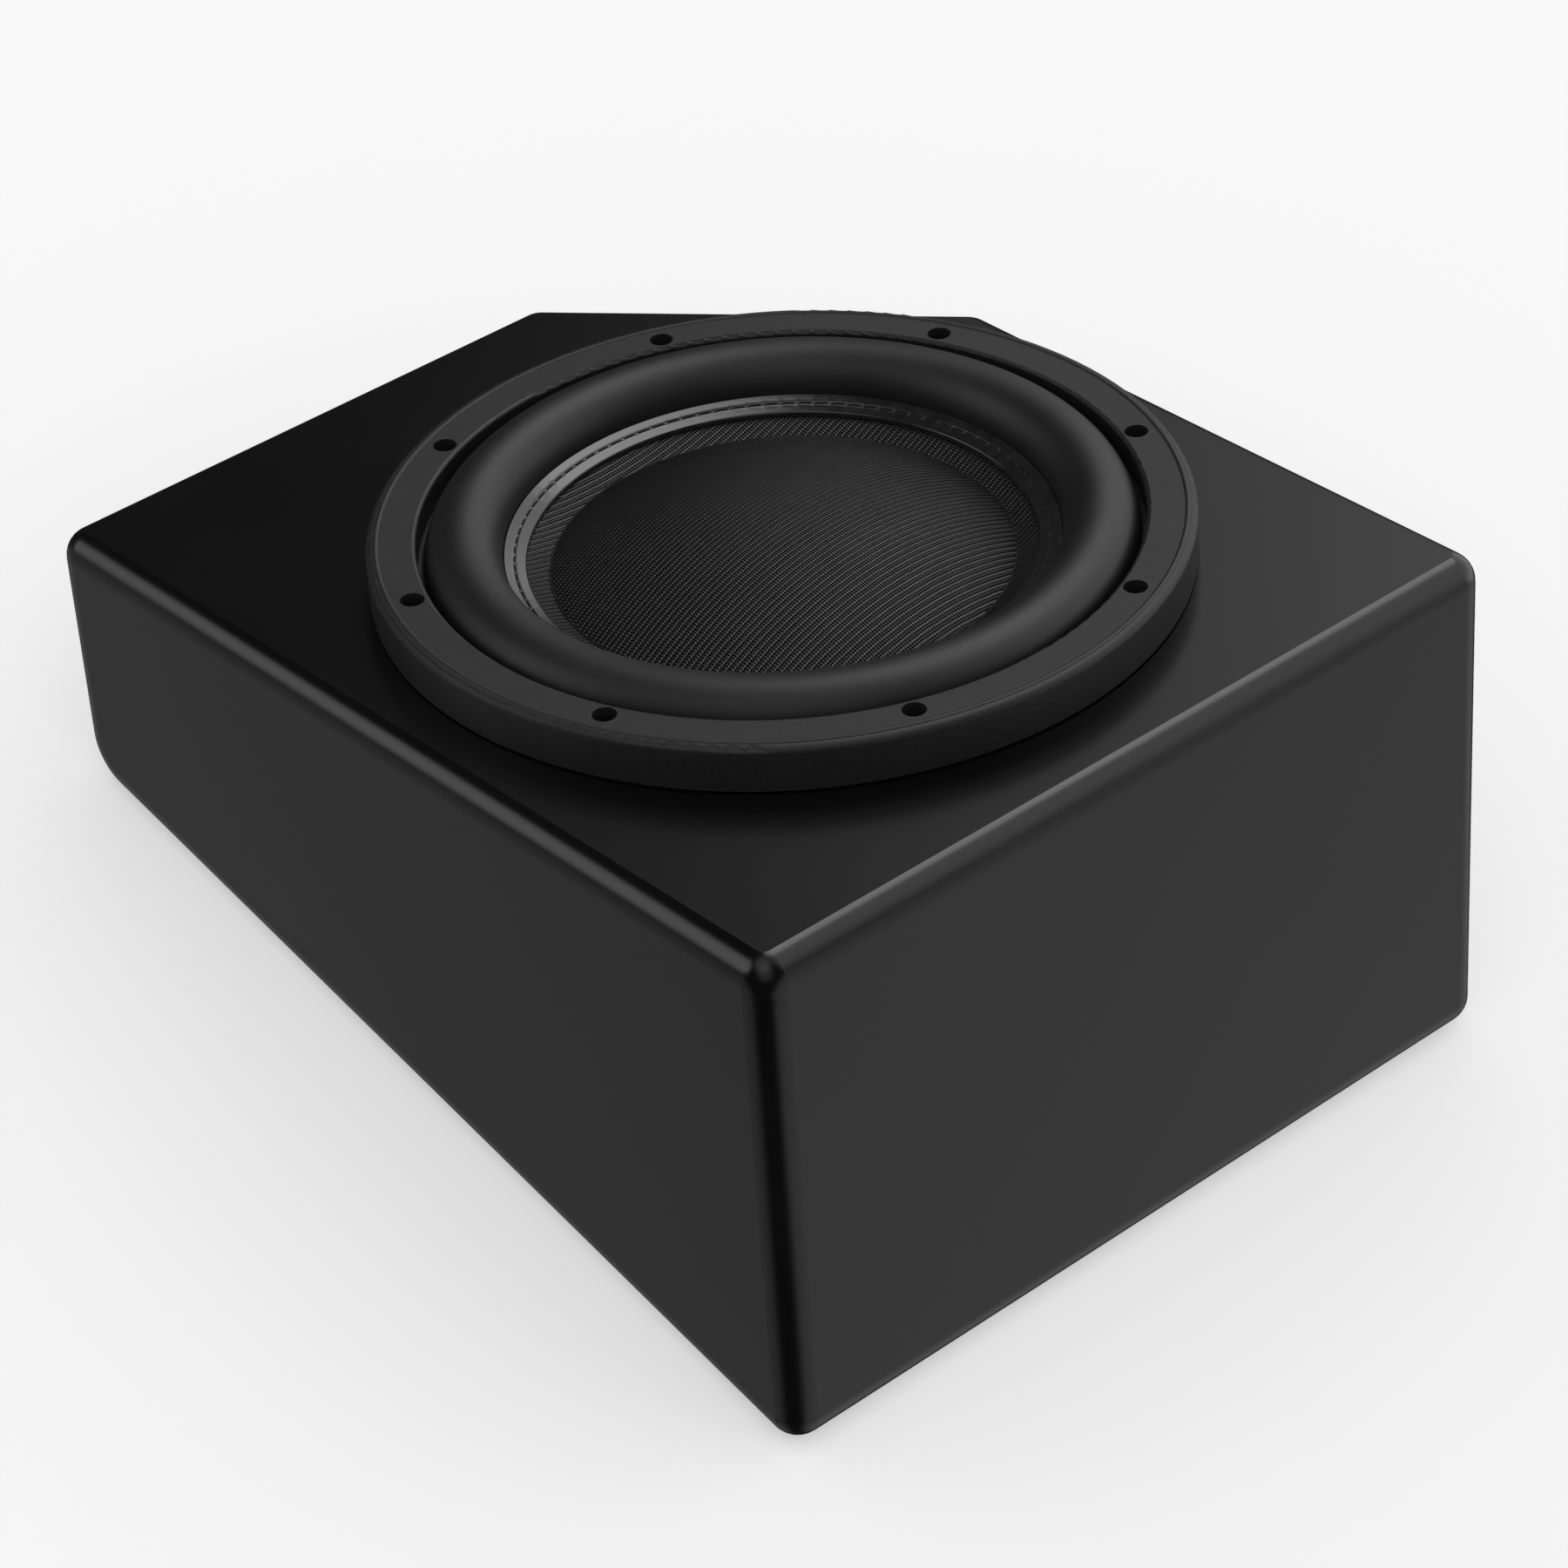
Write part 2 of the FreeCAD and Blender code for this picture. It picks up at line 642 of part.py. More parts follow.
def spider():
    """Corrugated cloth disc that centres the coil."""
    inner = FORMER_R + CLEAR
    first = inner + SPIDER_COLLAR_W
    last = LEDGE_INNER_R - 1.5
    collar_half = SPIDER_WALL / 2 + SPIDER_COLLAR
    steps = 8 * SPIDER_WAVES
    rims = []
    for lift in (SPIDER_WALL / 2, -SPIDER_WALL / 2):
        points = []
        for index in range(steps + 1):
            share = index / steps
            wave = SPIDER_WAVE * math.sin(2 * math.pi * SPIDER_WAVES * share)
            points.append(V(first + (last - first) * share, 0, SPIDER_Z + wave + lift))
        curve = Part.BSplineCurve()
        curve.interpolate(points)
        rims.append((points, curve))
    top_points, top_curve = rims[0]
    low_points, low_curve = rims[1]
    outline = [
        V(SPIDER_LEDGE_R, 0, SPIDER_Z + SPIDER_WALL / 2),
        V(SPIDER_LEDGE_R, 0, SPIDER_Z - SPIDER_WALL / 2),
        low_points[-1],
    ]
    collar = [
        low_points[0],
        V(inner, 0, SPIDER_Z - collar_half),
        V(inner, 0, SPIDER_Z + collar_half),
        top_points[0],
    ]
    edges = [top_curve.toShape(), Part.makeLine(top_points[-1], outline[0])]
    edges += [Part.makeLine(a, b) for a, b in zip(outline, outline[1:])]
    edges.append(low_curve.toShape())
    edges += [Part.makeLine(a, b) for a, b in zip(collar, collar[1:])]
    return turned(Part.Face(Part.Wire(Part.__sortEdges__(edges))))


def top_plate():
    """Steel ring around the magnetic gap."""
    plate = tube(PLATE_R, GAP_OUTER_R, TOP_PLATE_BOTTOM, FLOOR_BOTTOM)
    low = FLOOR_TOP - MOTOR_SCREW_LENGTH - 0.5
    holes = around(rod(M5_THREAD_HOLE_R, low, FLOOR_TOP), MOTOR_SCREW_R, MOTOR_SCREWS, BOLT_START)
    return plate.cut(holes)


def magnet(top):
    """One ferrite ring with slightly rounded rims."""
    ring = tube(MAGNET_R, MAGNET_HOLE_R, top - MAGNET, top)
    rims = [edge for edge in ring.Edges if abs(edge.Length - 2 * math.pi * MAGNET_R) < 0.1]
    return ring.makeFillet(MAGNET_ROUND, rims)


def yoke():
    """Back plate and vented pole in one piece; the pole's tip is stepped for the copper sleeve."""
    tip_r = POLE_R - POLE_CAP_WALL
    chamfer = 2.0
    face = profile(
        (VENT_FLARE_R, BACK_PLATE_BOTTOM),
        (PLATE_R - chamfer, BACK_PLATE_BOTTOM),
        (PLATE_R, BACK_PLATE_BOTTOM + chamfer),
        (PLATE_R, BACK_PLATE_TOP),
        (POLE_R, BACK_PLATE_TOP),
        (POLE_R, POLE_TOP - POLE_CAP_HEIGHT),
        (tip_r, POLE_TOP - POLE_CAP_HEIGHT),
        (tip_r, POLE_TOP),
        (VENT_R + VENT_CHAMFER, POLE_TOP),
        (VENT_R, POLE_TOP - VENT_CHAMFER),
        (VENT_R, BACK_PLATE_TOP),
    )
    return turned(face)


def pole_sleeve():
    """Copper sleeve on the pole's tip that steadies the coil's inductance."""
    return tube(POLE_R, POLE_R - POLE_CAP_WALL, POLE_TOP - POLE_CAP_HEIGHT, POLE_TOP)


def magnet_boot():
    """Rubber cover over the magnets and the back plate."""
    inner = MAGNET_R + BOOT_GAP
    outer = inner + BOOT
    low = BACK_PLATE_BOTTOM - BOOT_GAP - BOOT
    soft = BOOT_ROUND * (1 - math.sqrt(0.5))
    face = profile(
        (BOOT_HOLE_R, low),
        (outer - BOOT_ROUND, low),
        ((outer - soft, low + soft), (outer, low + BOOT_ROUND)),
        (outer, TOP_PLATE_BOTTOM - 2.0),
        (inner, TOP_PLATE_BOTTOM - 2.0),
        (inner, low + BOOT + 2.0),
        (inner - 2.0, low + BOOT),
        (BOOT_HOLE_R, low + BOOT),
    )
    return turned(face)


def vent_screen():
    """Perforated disc that keeps debris out of the pole's vent."""
    low = POLE_TOP - SCREEN_DEPTH
    disc = rod(VENT_R - 0.05, low, low + SCREEN)
    holes = [rod(SCREEN_HOLE_R, -FAR, POLE_TOP)]
    for ring_number in (1, 2):
        holes += around(holes[0], SCREEN_HOLE_STEP * ring_number, 6 * ring_number, 0.0)
    return disc.cut(holes)


# ---- driver: parts that move with the cone -------------------------------------------------------
def cone_top(r):
    """Height of the cone's visible upper side at radius r, outside its bend."""
    return (r - CAP_R) * CONE_SLOPE


def cone():
    """Woven cone from its outer edge down to the coil former."""
    bend = cone_top(CONE_BEND_R)
    drop = CONE_WALL / math.cos(math.atan(CONE_SLOPE))
    steep = (bend - NECK_Z) / (CONE_BEND_R - NECK_R)
    steep_drop = CONE_WALL / math.cos(math.atan(steep))
    return turned(profile(
        (BAND_OUTER_R, cone_top(BAND_OUTER_R)),
        (CONE_BEND_R, bend),
        (NECK_R, NECK_Z),
        (FORMER_R, NECK_END_Z + steep_drop),
        (FORMER_R, NECK_END_Z),
        (NECK_R, NECK_Z - steep_drop),
        (CONE_BEND_R, bend - steep_drop),
        (BAND_OUTER_R, cone_top(BAND_OUTER_R) - drop),
    ))


def band_seat():
    """Height of the edge band's underside above the cone, with the surround's lip between them."""
    return CLEAR + INNER_LIP + CLEAR


def edge_band():
    """Glossy conical band that clamps the surround's inner lip to the cone."""
    low = band_seat()
    outer = BAND_OUTER_R - CLEAR
    seat_r = BAND_INNER_R + INNER_LIP_W - CLEAR
    bevel_r = BAND_INNER_R + 0.6
    return turned(profile(
        (outer, cone_top(outer) + low),
        (outer, cone_top(outer) + low + BAND),
        (bevel_r, cone_top(bevel_r) + low + BAND),
        (BAND_INNER_R, cone_top(BAND_INNER_R) + low),
        (BAND_INNER_R, cone_top(BAND_INNER_R)),
        (seat_r, cone_top(seat_r)),
        (seat_r, cone_top(seat_r) + low),
    ))


def seam_thread():
    """The thread of the band's seam, as one thin ring lying on the band."""
    thread_r = SEAM_THREAD / 2
    top = cone_top(SEAM_R) + band_seat() + BAND
    centre_z = top + thread_r / math.cos(math.atan(CONE_SLOPE))
    return Part.makeTorus(SEAM_R, thread_r, V(0, 0, centre_z))


def dome(base_r, base_z, top_z):
    """A ball whose top passes through a circle of base_r at base_z and peaks at top_z."""
    rise = top_z - base_z
    ball_r = (base_r ** 2 + rise ** 2) / (2 * rise)
    return Part.makeSphere(ball_r, V(0, 0, top_z - ball_r))


def dust_cap():
    """Domed woven cap whose rim is ground to the cone it rests on."""
    inside = dome(CAP_R, CAP_RIM - CAP_WALL, CAP_RISE - CAP_WALL)
    skin = dome(CAP_R, CAP_RIM, CAP_RISE).cut(inside)
    beyond = 5.0
    low = cone_top(CAP_R) - beyond
    below_cone = turned(profile(
        (CAP_R / 2, low),
        (CAP_R + beyond, low),
        (CAP_R + beyond, cone_top(CAP_R + beyond)),
        (CAP_R / 2, cone_top(CAP_R / 2)),
    ))
    return skin.common(rod(CAP_R, low, CAP_RISE + 1.0)).cut(below_cone).Solids[0]


def coil_former():
    """Tube that carries the coil."""
    return tube(FORMER_R, FORMER_INNER_R, FORMER_BOTTOM, FORMER_TOP)


def coil_winding():
    """The copper winding, as one solid sleeve."""
    return tube(COIL_R, FORMER_R, COIL_BOTTOM, COIL_TOP)


# ---- terminal cup and wiring, in the corner frame ------------------------------------------------
def cup_screw_places():
    """The (y, z) of the cup's four screws."""
    places = []
    for side in (-1, 1):
        for level in (-1, 1):
            places.append((CUP_Y + side * CUP_SCREW_W / 2, CUP_Z + level * CUP_SCREW_H / 2))
    return places


def cup_frame(width, height, low, high, corner_r):
    """A block with rounded upright corners, centred on the cup."""
    solid = box(
        (low, CUP_Y - width / 2, CUP_Z - height / 2),
        (high, CUP_Y + width / 2, CUP_Z + height / 2),
    )
    edges = [edge for edge in solid.Edges if abs(edge.tangentAt(0).x) > 0.9]
    return solid.makeFillet(corner_r, edges)


def cup_gasket():
    """Thin foam frame behind the cup's plate."""
    top = CORNER_R + CUP_GASKET
    frame = cup_frame(CUP_PLATE_W - 2, CUP_PLATE_H - 2, CORNER_R, top, CUP_CORNER_R - 1)
    cutters = [cup_frame(CUP_HOLE_W, CUP_HOLE_H, CORNER_R - 1, top + 1, 1.0)]
    for y, z in cup_screw_places():
        cutters.append(rod_x(CUP_SCREW_R + 0.2, CORNER_R - 1, top + 1, y, z))
    return frame.cut(cutters)


def contact_strip(side):
    """Brass strip on the cup's floor with a tab through the floor."""
    y = CUP_Y + side * BAY_Y
    inside = CUP_FLOOR + CUP_WALL
    strip = box(
        (inside, y - STRIP_HALF_W, CUP_Z - STRIP_HALF_H),
        (inside + STRIP, y + STRIP_HALF_W, CUP_Z + STRIP_HALF_H),
    )
    tab = box(
        (CUP_FLOOR - TAB_LENGTH, y - TAB_W / 2, CUP_Z - TAB / 2),
        (inside + STRIP / 2, y + TAB_W / 2, CUP_Z + TAB / 2),
    )
    return strip.fuse(tab).removeSplitter()


def terminal_cup():
    """Moulded recess with two lever bays, a rod hole across it and a wire hole under each lever."""
    front = CORNER_R + CUP_GASKET + CUP_PLATE
    plate = cup_frame(CUP_PLATE_W, CUP_PLATE_H, CORNER_R + CUP_GASKET, front, CUP_CORNER_R)
    body = cup_frame(CUP_BODY_W, CUP_BODY_H, CUP_FLOOR, front - 1.0, 2.0)
    half_h = CUP_BODY_H / 2 - CUP_WALL
    half_w = CUP_BODY_W / 2 - CUP_WALL
    pocket = cup_frame(2 * half_w, 2 * half_h, CUP_FLOOR + CUP_WALL, front + 1.0, 1.5)
    divider = box(
        (CUP_FLOOR + 1.0, CUP_Y - 1.0, CUP_Z - half_h - 1.0),
        (CORNER_R + 1.5, CUP_Y + 1.0, CUP_Z + half_h + 1.0),
    )
    sill = box(
        (CUP_FLOOR + 1.0, CUP_Y - half_w - 1.0, CUP_Z - half_h - 1.0),
        (CORNER_R - SILL_DEPTH, CUP_Y + half_w + 1.0, CUP_Z - SILL_DROP),
    )
    cup = plate.fuse(body).cut(pocket).fuse([divider, sill])
    cutters = [pivot_rod()]
    hole_z = CUP_Z - WIRE_HOLE_DROP
    for side in (-1, 1):
        y = CUP_Y + side * BAY_Y
        cutters.append(rod_x(WIRE_HOLE_R, CUP_FLOOR + CUP_WALL, CORNER_R, y, hole_z))
        cutters.append(contact_strip(side))
    for y, z in cup_screw_places():
        cutters.append(rod_x(CUP_SCREW_R + 0.2, CORNER_R, front + 1.0, y, z))
    return cup.cut(cutters).removeSplitter()


def pivot_rod():
    """Steel rod through both levers, its ends held in the cup's walls."""
    half = CUP_BODY_W / 2 - CUP_WALL / 2
    return rod_y(ROD_R, CUP_Y - half, CUP_Y + half, PIVOT_X, CUP_Z + PIVOT_Z)


def push_lever(side):
    """One sprung lever: a barrel on the rod, a flat tongue and three finger ridges."""
    low = CUP_Y + side * BAY_Y - LEVER_W / 2
    high = low + LEVER_W
    pivot_z = CUP_Z + PIVOT_Z
    barrel = rod_y(LEVER_BARREL_R, low, high, PIVOT_X, pivot_z)
    front = PIVOT_X + LEVER_FRONT
    tongue = box((PIVOT_X - LEVER_BACK, low, pivot_z - LEVER_LENGTH), (front, high, pivot_z))
    lever = barrel.fuse(tongue)
    for index in range(LEVER_RIDGES):
        z = pivot_z - LEVER_LENGTH + LEVER_RIDGE_START + LEVER_RIDGE_STEP * index
        lever = lever.fuse(rod_y(LEVER_RIDGE_R, low + 2.0, high - 2.0, front, z))
    return lever.cut(rod_y(ROD_HOLE_R, low - 1, high + 1, PIVOT_X, pivot_z)).removeSplitter()


def lever_springs():
    """Torsion springs on the rod, one outside each lever."""
    coils = []
    for side in (-1, 1):
        helix = Part.makeHelix(SPRING_PITCH, SPRING_PITCH * SPRING_TURNS, SPRING_COIL_R)
        circle = Part.Wire(Part.makeCircle(SPRING_WIRE_R, V(SPRING_COIL_R, 0, 0), V(0, 1, 0)))
        coil = Part.Wire(helix).makePipeShell([circle], True, True)
        start = CUP_Y + side * (BAY_Y + LEVER_W / 2 + 0.35)
        turn = Rotation(V(1, 0, 0), -90.0 * side)
        coil.Placement = Placement(V(PIVOT_X, start, CUP_Z + PIVOT_Z), turn)
        coils.append(coil)
    return Part.makeCompound(coils)


def cup_screws():
    """Pan head screws that hold the cup to the corner panel."""
    seat = CORNER_R + CUP_GASKET + CUP_PLATE
    screws = []
    for y, z in cup_screw_places():
        shank = rod_x(CUP_SCREW_R, seat - CUP_SCREW_LENGTH, seat, y, z)
        head = rod_x(CUP_SCREW_HEAD_R, seat, seat + CUP_SCREW_HEAD, y, z)
        circles = [edge for edge in head.Edges if edge.Curve.TypeId == "Part::GeomCircle"]
        head = head.makeFillet(1.0, [edge for edge in circles if edge.CenterOfMass.x > seat + 1])
        slots = []
        for half_y, half_z in ((CROSS_LONG, CROSS_WIDE), (CROSS_WIDE, CROSS_LONG)):
            low = (seat + 0.9, y - half_y, z - half_z)
            slots.append(box(low, (seat + CUP_SCREW_HEAD + 1, y + half_y, z + half_z)))
        screws.append(shank.fuse(head).cut(slots))
    return Part.makeCompound(screws)


def board_radius():
    """Radius of the basket's ledge where the lead board is riveted."""
    return SPIDER_LEDGE_R + 1.0 + BASKET_WALL * math.sqrt(0.5)


def lead_board(frame):
    """Insulating board on the basket where the flexible leads end."""
    near = board_radius()
    plate = box((near - 3.0, -BOARD_W / 2, BOARD_BOTTOM), (near + BOARD, BOARD_W / 2, BOARD_TOP))
    plate = plate.cut(rod(near, -FAR, FAR)).cut(frame)
    return plate.cut(list(board_tab_shapes())).Solids[0]


def board_tab_shapes():
    """Two brass tabs through the lead board."""
    near = board_radius() + BOARD
    for side in (-1, 1):
        y = side * BOARD_TAB_Y
        yield box(
            (near - 1.0, y - TAB_W / 2, BOARD_TAB_Z - TAB / 2),
            (near + TAB_LENGTH, y + TAB_W / 2, BOARD_TAB_Z + TAB / 2),
        )


def sleeve(tab, low, y, z):
    """A push-on connector sleeve around a tab, lying along x from low."""
    body = box(
        (low, y - SLEEVE_W / 2, z - SLEEVE_H / 2),
        (low + SLEEVE_LENGTH, y + SLEEVE_W / 2, z + SLEEVE_H / 2),
    )
    edges = [edge for edge in body.Edges if abs(edge.tangentAt(0).x) > 0.9]
    return body.makeFillet(SLEEVE_ROUND, edges).cut(tab)


def board_sleeve_low():
    """Where the sleeves on the lead board's tabs start."""
    return board_radius() + BOARD + 3.0


def cup_sleeve_low():
    """Where the sleeves on the terminal cup's tabs start, at the wire end."""
    return CUP_FLOOR - 1.5 - SLEEVE_LENGTH


def connectors():
    """Four push-on connectors, two at each end of the wires."""
    pieces = []
    tabs = list(board_tab_shapes())
    for index, side in enumerate((-1, 1)):
        pieces.append(sleeve(tabs[index], board_sleeve_low(), side * BOARD_TAB_Y, BOARD_TAB_Z))
        pieces.append(sleeve(contact_strip(side), cup_sleeve_low(), CUP_Y + side * BAY_Y, CUP_Z))
    return Part.makeCompound(pieces)


def hookup_wire(side):
    """One insulated wire from a lead board connector to a terminal cup connector, with slack."""
    start = (board_sleeve_low() + SLEEVE_LENGTH, side * BOARD_TAB_Y, BOARD_TAB_Z)
    end = (cup_sleeve_low(), CUP_Y + side * BAY_Y, CUP_Z)
    sag_x = (start[0] + end[0]) / 2 + 2 * side
    sag_y = (start[1] + end[1]) / 2
    sag_z = BOARD_TAB_Z - WIRE_SAG + 5 * side
    return swept([start, (sag_x, sag_y, sag_z), end], WIRE_R, V(1, 0, 0), V(1, 0, 0))


def flexible_leads():
    """Braided leads from the former, over the spider's ledge, to the lead board."""
    end_x = board_radius() + BOARD + LEAD_R + 0.7
    leads = []
    for side in (-1, 1):
        y = side * BOARD_TAB_Y
        points = [(FORMER_R + CLEAR, 0.5 * y, LEAD_START_Z)]
        points += [(r, share * y, z) for r, share, z in LEAD_POINTS]
        points.append((end_x, y, BOARD_TAB_Z + TAB / 2 + CLEAR))
        leads.append(swept(points, LEAD_R, V(1, 0, 0), V(0, 0, -1)))
    return Part.makeCompound(leads)


# ---- write every piece ---------------------------------------------------------------------------
def main():
    """Build all pieces and write one STEP file for each."""
    os.makedirs("parts", exist_ok=True)
    for name, board in boards().items():
        save(name, board, CABINET)
    save("glue_blocks", glue_blocks(), CABINET)
    save("bottom_stiffener", bottom_stiffener(), CABINET)
    save("wall_lining", lining(), CABINET)

    frame = basket()
    save("basket", frame, DRIVER)
    save("driver_gasket", driver_gasket(), DRIVER)
    save("tee_nuts", tee_nuts(), DRIVER)
    save("driver_screws", driver_screws(), DRIVER)
    save("trim_ring", trim_ring(), DRIVER)
    save("surround", surround(), DRIVER)
    save("spider", spider(), DRIVER)
    save("top_plate", top_plate(), DRIVER)
    save("front_magnet", magnet(TOP_PLATE_BOTTOM), DRIVER)
    save("rear_magnet", magnet(MAGNET_SEAM), DRIVER)
    save("yoke", yoke(), DRIVER)
    save("pole_sleeve", pole_sleeve(), DRIVER)
    save("magnet_boot", magnet_boot(), DRIVER)
    save("vent_screen", vent_screen(), DRIVER)
    save("motor_screws", motor_screws(), DRIVER)

    save("cone", cone(), DRIVER)
    save("edge_band", edge_band(), DRIVER)
    save("seam_thread", seam_thread(), DRIVER)
    save("dust_cap", dust_cap(), DRIVER)
    save("coil_former", coil_former(), DRIVER)
    save("coil_winding", coil_winding(), DRIVER)

    save("terminal_cup", terminal_cup(), CORNER)
    save("cup_gasket", cup_gasket(), CORNER)
    save("cup_screws", cup_screws(), CORNER)
    save("pivot_rod", pivot_rod(), CORNER)
    save("red_lever", push_lever(1), CORNER)
    save("black_lever", push_lever(-1), CORNER)
    save("lever_springs", lever_springs(), CORNER)
    save("contact_strips", Part.makeCompound([contact_strip(-1), contact_strip(1)]), CORNER)
    frame.rotate(V(), V(0, 0, 1), -CORNER_ANGLE)
    save("lead_board", lead_board(frame), CORNER)
    save("lead_board_tabs", Part.makeCompound(list(board_tab_shapes())), CORNER)
    save("connectors", connectors(), CORNER)
    save("red_wire", hookup_wire(1), CORNER)
    save("black_wire", hookup_wire(-1), CORNER)
    save("flexible_leads", flexible_leads(), CORNER)


main()
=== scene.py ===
"""Looks for the wedge subwoofer: materials, woven cone and dust cap, rubber, light, floor and camera.

Positions handed to Blender are metres in the row frame. The driver's pieces are drawn in
millimetres in the driver's frame, which has its origin on the baffle's outer face, on the
driver's axis. The sizes of noise and relief in the materials are millimetres too.
"""

import json
import math

import bpy
import numpy as np
from mathutils import Matrix, Vector, noise


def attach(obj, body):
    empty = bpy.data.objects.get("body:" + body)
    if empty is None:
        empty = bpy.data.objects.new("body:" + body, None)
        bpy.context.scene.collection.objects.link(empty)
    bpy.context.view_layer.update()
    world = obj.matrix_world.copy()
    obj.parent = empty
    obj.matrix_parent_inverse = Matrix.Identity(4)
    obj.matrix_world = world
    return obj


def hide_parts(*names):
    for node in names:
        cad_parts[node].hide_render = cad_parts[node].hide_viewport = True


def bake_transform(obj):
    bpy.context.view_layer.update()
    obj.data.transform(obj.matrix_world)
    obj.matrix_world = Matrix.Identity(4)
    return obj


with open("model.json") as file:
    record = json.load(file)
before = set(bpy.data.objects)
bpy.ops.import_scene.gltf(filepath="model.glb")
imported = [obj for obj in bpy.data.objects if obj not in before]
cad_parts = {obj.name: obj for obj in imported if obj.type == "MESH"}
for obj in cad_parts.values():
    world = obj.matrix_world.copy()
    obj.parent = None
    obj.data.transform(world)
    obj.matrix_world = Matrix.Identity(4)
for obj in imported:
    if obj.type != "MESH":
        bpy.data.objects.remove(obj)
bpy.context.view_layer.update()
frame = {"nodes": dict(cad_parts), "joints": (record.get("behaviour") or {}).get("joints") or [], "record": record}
nodes = frame["nodes"]

MM = 0.001

# ---- the driver's frame, measured from the CAD
travel = next(j for j in frame["joints"] if j["name"] == "cone_travel")
AXIS = np.array(Vector(travel["axis"]).normalized())
ACROSS = np.array((1.0, 0.0, 0.0))
ALONG = np.cross(AXIS, ACROSS)


def points_of(obj):
    """A mesh object's points as an array, in metres of the row frame."""
    points = np.zeros(len(obj.data.vertices) * 3)
    obj.data.vertices.foreach_get("co", points)
    return points.reshape(-1, 3)


def find_origin():
    """The driver's axis at the baffle's outer face: the gasket is a ring that lies on it."""
    points = points_of(nodes["driver_gasket"])
    middle = (points.min(0) + points.max(0)) / 2
    height = points @ AXIS
    return middle - AXIS * (height.max() - height.min()) / 2


ORIGIN = find_origin()


def radius_and_height(obj):
    """Arrays of a mesh object's radii and heights in the driver's frame, in millimetres."""
    local = (points_of(obj) - ORIGIN) / MM
    return np.hypot(local @ ACROSS, local @ ALONG), local @ AXIS


def reach(node):
    """Inner radius, outer radius, low and high of a round CAD node, in millimetres."""
    radius, height = radius_and_height(nodes[node])
    return radius.min(), radius.max(), height.min(), height.max()


def in_row(x, y, z):
    """Driver frame millimetres to row frame metres."""
    return ORIGIN + MM * (np.outer(x, ACROSS) + np.outer(y, ALONG) + np.outer(z, AXIS))


# ---- meshes
def mesh_object(name, points, quads, material, smooth=True):
    """A mesh from points and four-cornered faces."""
    quads = np.asarray(quads, dtype=np.int32)
    mesh = bpy.data.meshes.new(name)
    mesh.vertices.add(len(points))
    mesh.vertices.foreach_set("co", np.asarray(points, dtype=np.float32).ravel())
    mesh.loops.add(quads.size)
    mesh.loops.foreach_set("vertex_index", quads.ravel())
    mesh.polygons.add(len(quads))
    mesh.polygons.foreach_set("loop_start", np.arange(len(quads), dtype=np.int32) * 4)
    mesh.update(calc_edges=True)
    mesh.validate()
    mesh.polygons.foreach_set("use_smooth", np.full(len(mesh.polygons), smooth))
    mesh.materials.append(material)
    obj = bpy.data.objects.new(name, mesh)
    bpy.context.scene.collection.objects.link(obj)
    return obj


def hand_over(obj, body, slot, *replaced):
    """Fixes a finished piece to a body, in place of the CAD nodes that it replaces."""
    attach(obj, body)
    if replaced:
        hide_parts(*replaced)


def hand_over_bending(obj, replaced, still, moving):
    """Bakes a piece's place into its mesh and hides the CAD node that it replaces; the share from the still radius
    to the moving one is worked out but not used.
    """
    radius, _ = radius_and_height(obj)
    share = np.clip((radius - still) / (moving - still), 0, 1)
    share = share * share * (3 - 2 * share)
    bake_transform(obj)
    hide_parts(replaced)


def grid_quads(rows, columns, close_rows=True, close_columns=True, offset=0):
    """Faces of a grid of points, wrapped round in either direction."""
    row = np.arange(rows if close_rows else rows - 1)
    column = np.arange(columns if close_columns else columns - 1)
    r, c = np.meshgrid(row, column, indexing="ij")
    r2 = (r + 1) % rows
    c2 = (c + 1) % columns
    quads = np.stack([r * columns + c, r2 * columns + c, r2 * columns + c2, r * columns + c2], -1)
    return quads.reshape(-1, 4) + offset


def lathe(name, outline, steps, material, shape=None):
    """Turns a closed clockwise (radius, height) outline in mm about the driver's axis."""
    outline = np.array(outline, float)
    r = np.repeat(outline[:, :1], steps, 1)
    h = np.repeat(outline[:, 1:], steps, 1)
    a = np.tile(2 * math.pi * np.arange(steps) / steps, (len(outline), 1))
    if shape:
        r, h = shape(r, h, a)
    points = in_row((r * np.cos(a)).ravel(), (r * np.sin(a)).ravel(), h.ravel())
    return mesh_object(name, points, grid_quads(len(outline), steps), material)


def arc(centre, radius, start, end, steps):
    """Points of an arc in the (radius, height) plane, angles in degrees from outwards."""
    turn = np.radians(np.linspace(start, end, steps))
    return [(centre[0] + radius * math.cos(t), centre[1] + radius * math.sin(t)) for t in turn]


def line(start, end, steps):
    """Evenly spaced points from start towards end, without the end."""
    share = np.arange(steps) / steps
    start = np.array(start)
    end = np.array(end)
    return [tuple(start + (end - start) * s) for s in share]


